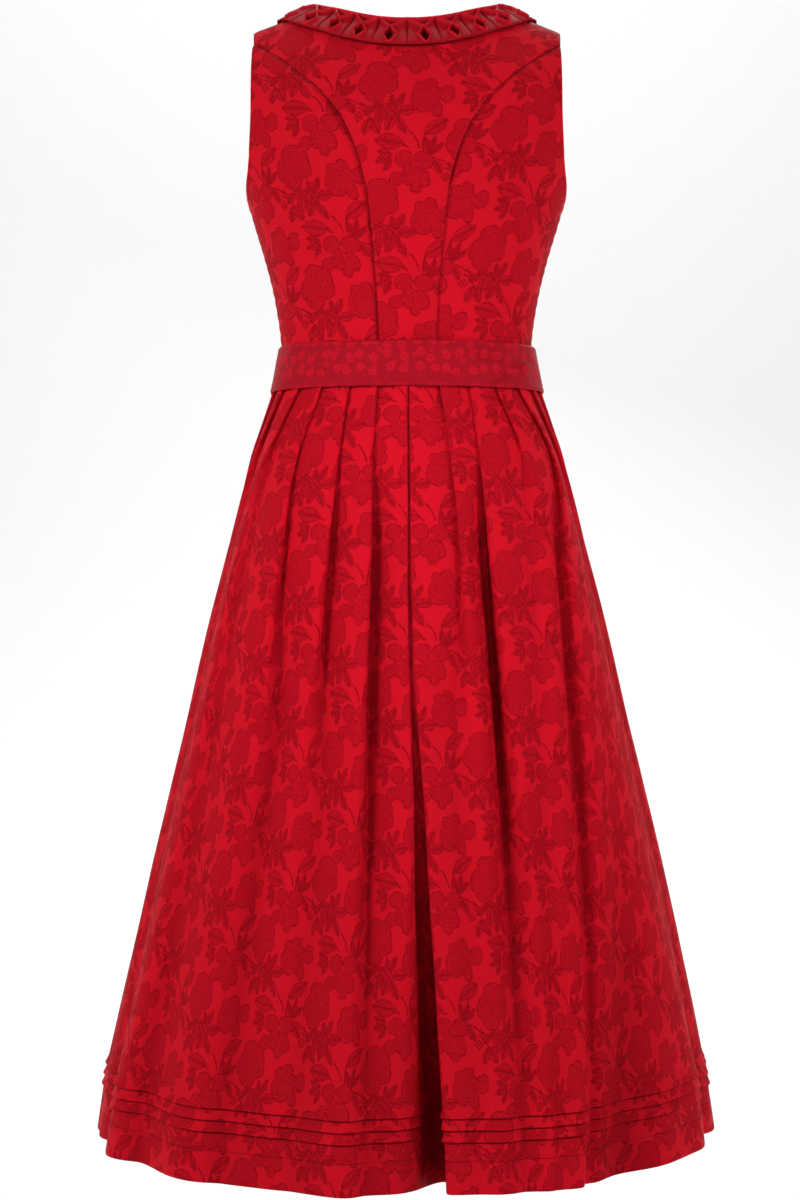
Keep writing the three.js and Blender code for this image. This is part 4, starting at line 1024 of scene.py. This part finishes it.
skirtPoints, skirtCloth, skirtPaintedShade, skirtOut, skirtDropsDown, skirtCuts = buildSkirt()
skirtPieces = []
skirtNames = ("skirt_front_l", "skirt_back_l", "skirt_back_r", "skirt_front_r")
for name, first, final in zip(skirtNames, skirtCuts, skirtCuts[1:]):
    grid = skirtPoints[::-1, first:final + 1]
    cloth = skirtCloth[::-1, first:final + 1]
    painted_shade = skirtPaintedShade[::-1, first:final + 1]
    skirtPieces.append(clothPiece(f"{name}_cloth", grid, cloth, damask, [name], "damask", 0.9, painted_shade))
print("skirt pleated")


# Apron panel, its waistband, and the tie that goes round over it
apronSettings = {
    "length": 700,
    "halfTurn": 64,
    "gathers": 11,
    "depth": 1.5,
    "fullness": 1.35,  # width that was cut, against the width that shows at the hem
    "columns": 230,
    "rows": 80,
}


def apronPoints():
    s = apronSettings
    turn = np.linspace(180 - s["halfTurn"], 180 + s["halfTurn"], s["columns"] + 1)[None]
    drop = np.concatenate([np.linspace(3, 60, 14), np.linspace(66, s["length"], s["rows"] - 14)])[:, None]
    share = (turn - 180 + s["halfTurn"]) / (2 * s["halfTurn"])
    wander = 0.35 * ripples(share * 5 + 0 * drop, drop / 260, 71)
    phase = (share * s["gathers"] + wander * smooth(drop, 40, 300)) * 2 * np.pi
    loosened = 0.4 + 0.6 * smooth(drop, 20, 90)
    gather = s["depth"] * (1 - np.cos(phase)) * loosened * (1 - 0.6 * drop / s["length"])
    out = 1.0 + 1.4 * smooth(drop, 500, 680) + 1.2 * smooth(drop, 0, 75) + gather + clothThick
    out = out + 0.7 + 0.6 * ripples(share * 30, drop / 120, 72) * smooth(drop, 30, 200)
    hem = smooth(drop, s["length"] - 31, s["length"] - 29)
    side = np.minimum(share, 1 - share) * 2 * s["halfTurn"]
    out = out + 0.45 * hem + 0.45 * smooth(side, 4.2, 3.6) - 0.8 * smooth(side, 0.35, 0)
    wrapped = (turn + 180) % 360 - 180 + 0 * drop
    points = skirtPoint(wrapped, drop + 0 * turn, out)
    cloth = np.stack([lengths(points, 1)[-1] * s["fullness"] + 0 * drop, -drop * 1.03 + 0 * turn], -1)
    return points[::-1], cloth[::-1]


apron = clothPiece("apron_panel_cloth", *apronPoints(), apronCloth, ["apron_panel"], "tie", 0.9)


def bandPoint(turn, z, out):
    return ringPoint(bandRings, turn, z, out, z)


def creaseOut(x, z, creases):  # pulled folds laid across a band: ends, half width and height
    total = np.zeros(np.broadcast(x, z).shape)
    for a, b, width, height in creases:
        total += height * np.exp(-((nearLine(x, z, a, b) / width) ** 2))
    return total


tieSettings = {
    "joinTurn": 96,
    "backOut": 3.1,
    "frontOut": 6,
    "creases": [((66, -347), (112, -357), 2.6, -2.6), ((58, -342), (100, -347), 3.5, 1.5),
                ((86, -374), (114, -361), 2.4, -2.3), ((92, -379), (118, -370), 3, 1.2),
                ((-96, -366), (-78, -371), 4, -0.8), ((-118, -346), (-84, -352), 4, 0.7),
                ((-20, -352), (24, -356), 5, 0.35), ((104, -343), (124, -352), 3, -0.8)],
}


def bandStrip(name, start, end, baseOut, columns, creases, seed):
    turn = np.linspace(start, end, columns + 1)[None]
    edge = (0.0, 0.02, 0.05, 0.08)
    share = np.concatenate([edge, np.linspace(0.12, 0.88, 20), 1 - np.array(edge[::-1])])[:, None]
    z = mix(bandBottom, bandTop, share)
    out = baseOut(turn) + clothThick + 0 * z
    out = out - 0.8 * (smooth(share, 0.035, 0) + smooth(share, 0.965, 1))
    out = out + 0.35 * smooth(share, 0.1, 0.075) * smooth(share, 0, 0.05)
    flatPoints = bandPoint(turn + 0 * z, z + 0 * turn, out)
    out = out + creaseOut(flatPoints[..., 0], z + 0 * turn, creases)
    out = out + 0.28 * ripples(turn / 9 + 0 * z, z / 20, seed)
    points = bandPoint(turn + 0 * z, z + 0 * turn, out)
    run = lengths(points, 1)[len(share) // 2]
    cloth = np.stack([run + 0 * z, (z - bandBottom) + 0 * turn], -1)
    return clothPiece(f"{name}_cloth", points, cloth, tieCloth, [name], "tie", 1.0)


def tieOut(turn):
    away = np.abs(turn - 360 * np.round(turn / 360))
    return mix(tieSettings["backOut"], tieSettings["frontOut"], smooth(away, 86, 110))


join = tieSettings["joinTurn"]
tieBack = bandStrip("tie_back", -join + 0.07, join - 0.07, tieOut, 330, tieSettings["creases"], 81)
tieFront = bandStrip("tie_front", join + 0.07, 360 - join - 0.07, tieOut, 280, [], 83)
waistband = bandStrip("apron_waistband", 180 - 67, 180 + 67, lambda turn: 4.4 + 0 * turn, 220, [], 84)
print("apron tied")

# Bow at the front left
bowSettings = {"turn": -154, "ribbon": 42, "knot": (13, 7, 15)}
bowZ = (bandTop + bandBottom) / 2
faceOut = tieSettings["frontOut"] + clothThick
bowSeat = bandPoint(np.array(bowSettings["turn"], float), np.array(bowZ), np.array(faceOut))
bowNormal = bandPoint(np.array(bowSettings["turn"], float), np.array(bowZ), np.array(faceOut + 1)) - bowSeat
bowNormal /= np.linalg.norm(bowNormal)
bowAcross = np.cross([0, 0, 1], bowNormal)
bowAcross /= np.linalg.norm(bowAcross)


def bowPlace(side, out, up):
    side, out, up = (np.asarray(v, float)[..., None] for v in (side, out, up))
    return bowSeat + bowAcross * side + bowNormal * out + np.array([0, 0, 1.0]) * up


def easedLine(rows, count):
    rows = np.array(rows, float)
    reach = np.concatenate([[0], np.cumsum(np.linalg.norm(np.diff(rows[:, :3], axis=0), axis=1))])
    at = np.linspace(0, reach[-1], count)
    eased = [along({"reach": reach, "value": column}, "reach", at, "value") for column in rows.T]
    return np.stack(eased, -1), at


loopLine = [(12, 10.5, 0, 0.5), (26, 19, -3, 0.8), (48, 21, -12, 1), (70, 17, -24, 1), (77, 11.5, -28, 1),
            (70, 6.2, -26, 1), (48, 5.4, -15, 1), (26, 4.8, -5, 0.8), (12.8, 4.6, 0, 0.5)]
tailRows = [(-368, 7.7, 5.2, 9), (-378, 7.9, 11, 20), (-394, 9.2, 16, 30), (-425, 8.6, 20.5, 38),
            (-480, 8.4, 24, 42), (-550, 8.2, 30, 42), (-620, 8, 35, 42), (-690, 8, 38, 42)]
bowPieces = []
ribbon = bowSettings["ribbon"]


def ribbonCloth(reach, share):
    return np.stack([reach[:, None] + 0 * share, (share + 0.5) * ribbon + 0 * reach[:, None]], -1)


def addRibbon(name, points, cloth):
    bowPieces.append(clothPiece(f"{name}_cloth", points, cloth, tieCloth, [name], "tie", 1.0))


for hand, tag in ((1, "r"), (-1, "l")):
    line, reach = easedLine(loopLine, 90)
    share = np.linspace(-0.5, 0.5, 31)[None]
    run = np.gradient(line[:, :2], axis=0)
    run /= np.linalg.norm(run, axis=1, keepdims=True)
    tight = smooth(np.abs(line[:, 0]), 60, 14)[:, None]
    fold = 0.6 + tight * 1.5 * np.cos(share * 2 * np.pi * 3)
    fold = fold + 0.5 * ripples(share * 6, reach[:, None] / 22, 90 + hand)
    points = bowPlace(hand * (line[:, :1] - run[:, 1:] * fold), line[:, 1:2] + run[:, :1] * fold,
                      line[:, 2:3] + share * ribbon * line[:, 3:4])
    cloth = ribbonCloth(reach, share)
    if hand < 0:
        points, cloth = points[:, ::-1], cloth[:, ::-1]
    addRibbon(f"bow_loop_{tag}", points, cloth)

    line, reach = easedLine(tailRows, 80)
    shorter = 24 if hand > 0 else 0
    z = line[:, :1] + shorter * np.linspace(0, 7 / 8, 80)[:, None]
    z = z + (share * 2 * 9 * hand - 3) * smooth(reach, reach[-1] - 60, reach[-1])[:, None]
    radius = mix(112, 196, (z - bandBottom) / (-690 - bandBottom))
    turn = bowSettings["turn"] + np.degrees((hand * line[:, 2:3] + share * line[:, 3:4]) / radius)
    wave = 1.1 * (1 + np.cos(share * 2 * np.pi * 1.5 + 1.2)) * smooth(reach, 60, 10)[:, None]
    out = line[:, 1:2] + clothThick + wave + 0.5 * (1 + ripples(share * 3, reach[:, None] / 60, 95 + hand))
    high = bandPoint(turn, z, out)
    low = skirtPoint(turn, waistSeam - z, out)
    points = np.where((z > bandBottom)[..., None], high, low)
    addRibbon(f"bow_tail_{tag}", points, ribbonCloth(reach, share))

theta = np.linspace(0, 2 * np.pi, 73)[None]
phi = np.linspace(0.03, np.pi - 0.03, 41)[:, None]
kx, ky, kz = bowSettings["knot"]
crumple = 1 + 0.07 * np.cos(theta * 7 + 0.8 * np.cos(phi * 2)) * np.sin(phi)
crumple = crumple - 0.06 * np.exp(-((np.cos(phi) / 0.2) ** 2))
wide = crumple * np.sin(phi)
knotOut = ky + 0.4 + ky * wide * np.sin(theta)
knotPoints = bowPlace(kx * wide * np.cos(theta), knotOut, kz * np.cos(phi) + 0 * theta)
knotCloth = np.stack([theta * 11 + 0 * phi, phi * 13 + 0 * theta], -1)
bowKnot = clothPiece("bow_knot_cloth", knotPoints[::-1], knotCloth[::-1], tieCloth, ["bow_knot"], "tie", 0)
print("bow tied")


# Sewing: short stitches that follow a line, laid by a node tree
def stitchTree(material):
    tree = bpy.data.node_groups.new("stitches", "GeometryNodeTree")
    face = tree.interface
    face.new_socket("Geometry", in_out="INPUT", socket_type="NodeSocketGeometry")
    for name, value in (("Pitch", 0.0025), ("Length", 0.0016), ("Thickness", 0.0004)):
        face.new_socket(name, in_out="INPUT", socket_type="NodeSocketFloat").default_value = value
    face.new_socket("Geometry", in_out="OUTPUT", socket_type="NodeSocketGeometry")
    node, link = tree.nodes.new, tree.links.new
    start, end = node("NodeGroupInput"), node("NodeGroupOutput")
    curve = node("GeometryNodeMeshToCurve")
    sampled = node("GeometryNodeResampleCurve")
    sampled.mode = "LENGTH"
    bead = node("GeometryNodeMeshIcoSphere")
    bead.inputs["Radius"].default_value = 0.5
    bead.inputs["Subdivisions"].default_value = 1
    spread = node("GeometryNodeInstanceOnPoints")
    tangent = node("GeometryNodeInputTangent")
    lined = node("FunctionNodeAlignRotationToVector")
    lined.axis = "X"
    size = node("ShaderNodeCombineXYZ")
    real = node("GeometryNodeRealizeInstances")
    coat = node("GeometryNodeSetMaterial")
    coat.inputs["Material"].default_value = material
    link(start.outputs["Geometry"], curve.inputs["Mesh"])
    link(curve.outputs[0], sampled.inputs["Curve"])
    link(start.outputs["Pitch"], sampled.inputs["Length"])
    link(sampled.outputs[0], spread.inputs["Points"])
    link(bead.outputs["Mesh"], spread.inputs["Instance"])
    link(tangent.outputs[0], lined.inputs["Vector"])
    link(lined.outputs[0], spread.inputs["Rotation"])
    link(start.outputs["Length"], size.inputs[0])
    link(start.outputs["Thickness"], size.inputs[1])
    link(start.outputs["Thickness"], size.inputs[2])
    link(size.outputs[0], spread.inputs["Scale"])
    link(spread.outputs[0], real.inputs[0])
    link(real.outputs[0], coat.inputs["Geometry"])
    link(coat.outputs[0], end.inputs["Geometry"])
    return tree


def layStitches(name, lines, pitch, length, thickness):
    mesh = bpy.data.meshes.new(f"{name}_line")
    points = np.concatenate(lines)
    edges, first = [], 0
    for line in lines:
        edges += [(first + k, first + k + 1) for k in range(len(line) - 1)]
        first += len(line)
    mesh.from_pydata((points * mm).tolist(), edges, [])
    guide = bpy.data.objects.new(f"{name}_guide", mesh)
    scene.collection.objects.link(guide)
    tree = stitchTree(sewingThread)
    sewing = guide.modifiers.new("stitches", "NODES")
    sewing.node_group = tree
    for item in tree.interface.items_tree:
        values = {"Pitch": pitch, "Length": length, "Thickness": thickness}
        if item.in_out == "INPUT" and item.name in values:
            sewing[item.identifier] = values[item.name] * mm
    bpy.context.view_layer.update()
    ready = guide.evaluated_get(bpy.context.evaluated_depsgraph_get())
    sewn = bpy.data.meshes.new_from_object(ready)
    sewn.name = name
    bpy.data.objects.remove(guide)
    sewn.polygons.foreach_set("use_smooth", np.ones(len(sewn.polygons), dtype=bool))
    piece = bpy.data.objects.new(name, sewn)
    scene.collection.objects.link(piece)
    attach(piece, "root")
    return piece


_, centrePlaces, centrePoints, centreNormals = bodicePieces["bodice_back_centre"]
centreRun = lengths(centrePoints, 1)
seamLines = []
seamGap = 3.6  # from a seam to its row of stitches
for inward in (1, -1):
    line = []
    for row in range(0, 66):
        away = centreRun[row] if inward > 0 else centreRun[row, -1] - centreRun[row]
        k = np.searchsorted(away, seamGap) if inward > 0 else len(away) - np.searchsorted(away[::-1], seamGap)
        k = min(max(int(k), 1), len(away) - 1)
        share = (seamGap - away[k - 1]) / (away[k] - away[k - 1])
        line.append(mix(centrePoints[row, k - 1], centrePoints[row, k], share) + centreNormals[row, k] * 0.1)
    seamLines.append(np.array(line))
layStitches("seam_topstitch", seamLines, 2.0, 1.3, 0.45)


def rowLine(drop, out):
    row = int(np.argmin(np.abs(skirtDropsDown[:-8] - drop)))
    return skirtPoints[row] + skirtOut[row] * out


firstTuck = waistSeam - skirtSettings["tucks"][0]
layStitches("tuck_stitching", [rowLine(firstTuck - 12, 0.1)], 2.6, 1.5, 0.42)
layStitches("hem_stitching", [rowLine(skirtLength - 28, 0.1)], 2.6, 1.5, 0.42)
bandStitchLines = []
for z in (bandBottom + 2.2, bandTop - 2.2):
    turn = np.linspace(-95, 95, 300)
    bandStitchLines.append(bandPoint(turn, np.full(300, z), tieOut(turn) + clothThick + 0.15))
layStitches("tie_stitching", bandStitchLines, 2.4, 1.3, 0.3)
print("stitches sewn")

# Buttons down the centre front
buttonSettings = {"count": 7, "first": -209, "pitch": 19, "radius": 5.5, "fromEdge": 9}


def buttonMesh():
    r = buttonSettings["radius"]
    profile = [(0.0, 2.35), (1.0, 2.3), (1.7, 1.95), (2.2, 2.05), (3.0, 2.5), (3.7, 2.4), (4.1, 1.9),
               (4.45, 1.95), (4.8, 2.35), (5.2, 2.35), (5.45, 1.9), (5.5, 1.2), (5.2, 0.5), (4.4, 0.0),
               (2.0, 0.0), (0.0, 0.0)]
    profileRadius, segments = 5.5, 40
    angles = np.arange(segments) * 2 * np.pi / segments
    vertices, faces = [(0.0, 0.0, profile[0][1])], []
    for radius, height in profile[1:-1]:
        rope = 0.12 * np.cos(angles * 20) if 4.6 < radius < 5.4 and height > 2 else 0 * angles
        reach = radius * r / profileRadius
        vertices += [(reach * math.cos(a), reach * math.sin(a), height + d) for a, d in zip(angles, rope)]
    vertices.append((0.0, 0.0, 0.0))
    rings = len(profile) - 2
    for k in range(segments):
        n = (k + 1) % segments
        faces.append((0, 1 + k, 1 + n))
        for ring in range(rings - 1):
            a, b = 1 + ring * segments, 1 + (ring + 1) * segments
            faces.append((a + k, b + k, b + n, a + n))
        last = 1 + (rings - 1) * segments
        faces.append((last + k, len(vertices) - 1, last + n))
    return np.array(vertices), faces


def placeButtons():
    s = buttonSettings
    shape, faces = buttonMesh()
    for k in range(s["count"]):
        z = s["first"] - k * s["pitch"]
        turn, rise = bodicePlace(s["fromEdge"], z, True)
        normal = bodiceNormal(np.array(turn), np.array(rise))
        seat = bodicePoint(np.array(turn), np.array(rise)) + normal * (clothThick / 2 + 0.9)
        across = np.cross([0, 0, 1], normal)
        across /= np.linalg.norm(across)
        up = np.cross(normal, across)
        points = seat + shape[:, :1] * across + shape[:, 1:2] * up + shape[:, 2:] * normal
        mesh = bpy.data.meshes.new(f"button_{k + 1}_turned")
        mesh.from_pydata((points * mm).tolist(), [], faces)
        mesh.polygons.foreach_set("use_smooth", np.ones(len(mesh.polygons), dtype=bool))
        mesh.materials.append(buttonMetal)
        piece = bpy.data.objects.new(f"button_{k + 1}_turned", mesh)
        scene.collection.objects.link(piece)
        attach(piece, "root")
        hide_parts(f"button_{k + 1}")


placeButtons()
print("buttons sewn on")

# Pale floor and backdrop, soft studio light
stageSettings = {"floor": -1.45, "bend": 1.3, "radius": 1.6, "colour": (0.93, 0.93, 0.935)}


def buildStage():
    s = stageSettings
    profile = [(-5.0, s["floor"])]
    for k in range(25):
        a = math.radians(90 * k / 24)
        profile.append((s["bend"] + s["radius"] * math.sin(a), s["floor"] + s["radius"] * (1 - math.cos(a))))
    profile.append((s["bend"] + s["radius"], 5.0))
    vertices = [(x, y, z) for x in (-7, 7) for y, z in profile]
    count = len(profile)
    faces = [(k, count + k, count + k + 1, k + 1) for k in range(count - 1)]
    mesh = bpy.data.meshes.new("studio_sweep")
    mesh.from_pydata(vertices, [], faces)
    mesh.polygons.foreach_set("use_smooth", np.ones(len(mesh.polygons), dtype=bool))
    loom = Loom("studio_paper")
    local = loom.node("ShaderNodeTexCoord", {}, (), 3)
    grain = loom.noise(local, 30)
    mesh.materials.append(loom.finish(s["colour"], 0.8 + grain * 0.1))
    fromBehind = loom.node("ShaderNodeNewGeometry", {}, (), 6)
    shader = next(n for n in loom.tree.nodes if n.type == "BSDF_PRINCIPLED")
    loom.tree.links.new((1 - fromBehind).socket, shader.inputs["Alpha"])  # the paper has one side
    sweep = bpy.data.objects.new("studio_sweep", mesh)
    scene.collection.objects.link(sweep)


def softLight(name, place, aim, width, height, power, spread=180):
    data = bpy.data.lights.new(name, "AREA")
    data.shape = "RECTANGLE"
    data.size, data.size_y, data.energy, data.spread = width, height, power, math.radians(spread)
    lamp = bpy.data.objects.new(name, data)
    lamp.location = place
    lamp.rotation_euler = (Vector(aim) - Vector(place)).to_track_quat("-Z", "Y").to_euler()
    scene.collection.objects.link(lamp)


buildStage()
softLight("key_light", (-2.3, -1.8, 0.55), (0, 0, -0.3), 1.0, 1.0, 51)
softLight("fill_light", (2.3, -1.8, 0.4), (0, 0, -0.35), 1.2, 1.2, 41)
softLight("waist_light", (0, -2.3, 0.3), (0, 0, -0.53), 2.2, 0.3, 1.15, 25)
softLight("front_light", (0.5, 2.0, 1.0), (0, 0, -0.5), 1.4, 1.2, 22)
softLight("backdrop_light", (0, 0.8, 2.0), (0, 2.9, -0.2), 2.4, 0.6, 42)
world = bpy.data.worlds.new("studio")
world.use_nodes = True
world.node_tree.nodes["Background"].inputs["Color"].default_value = (1, 1, 1, 1)
world.node_tree.nodes["Background"].inputs["Strength"].default_value = 0.20
scene.world = world


# Each cloth piece says the size it was cut to, as its cloth coordinates lie flat, less what its gathers hide
def declareCut(piece, held, shown=1.0):
    mesh = piece.data
    flat = np.empty(len(mesh.loops) * 2)
    mesh.uv_layers["cloth"].data.foreach_get("uv", flat)
    corners = flat.reshape(-1, 4, 2)
    wide, long = np.ptp(flat.reshape(-1, 2), axis=0) * (shown, 1)
    first, second = corners[:, 2] - corners[:, 0], corners[:, 3] - corners[:, 1]
    area = float(np.abs(first[:, 0] * second[:, 1] - first[:, 1] * second[:, 0]).sum() / 2) * shown
    print(piece.name, "cut, m:", round(float(wide), 3), round(float(long), 3), round(area, 4))
    min(area, float(wide * long))


for piece, *_ in bodicePieces.values():
    declareCut(piece, "stretched")
for piece in skirtPieces:
    declareCut(piece, "gathered", 1 / (1 + skirtSettings["gatherWiden"]))
declareCut(apron, "gathered", 1 / apronSettings["fullness"])
declareCut(tieBack, "stretched")
declareCut(tieFront, "stretched")
declareCut(waistband, "stretched")
for piece in bowPieces:
    declareCut(piece, "folded" if "loop" in piece.name else "hung")
declareCut(bowKnot, "folded", 2 / math.pi)  # a ball's share of the strip wrapped round it
declareCut(neckPieces[0], "folded")
for piece in neckPieces[1:]:
    declareCut(piece, "folded")
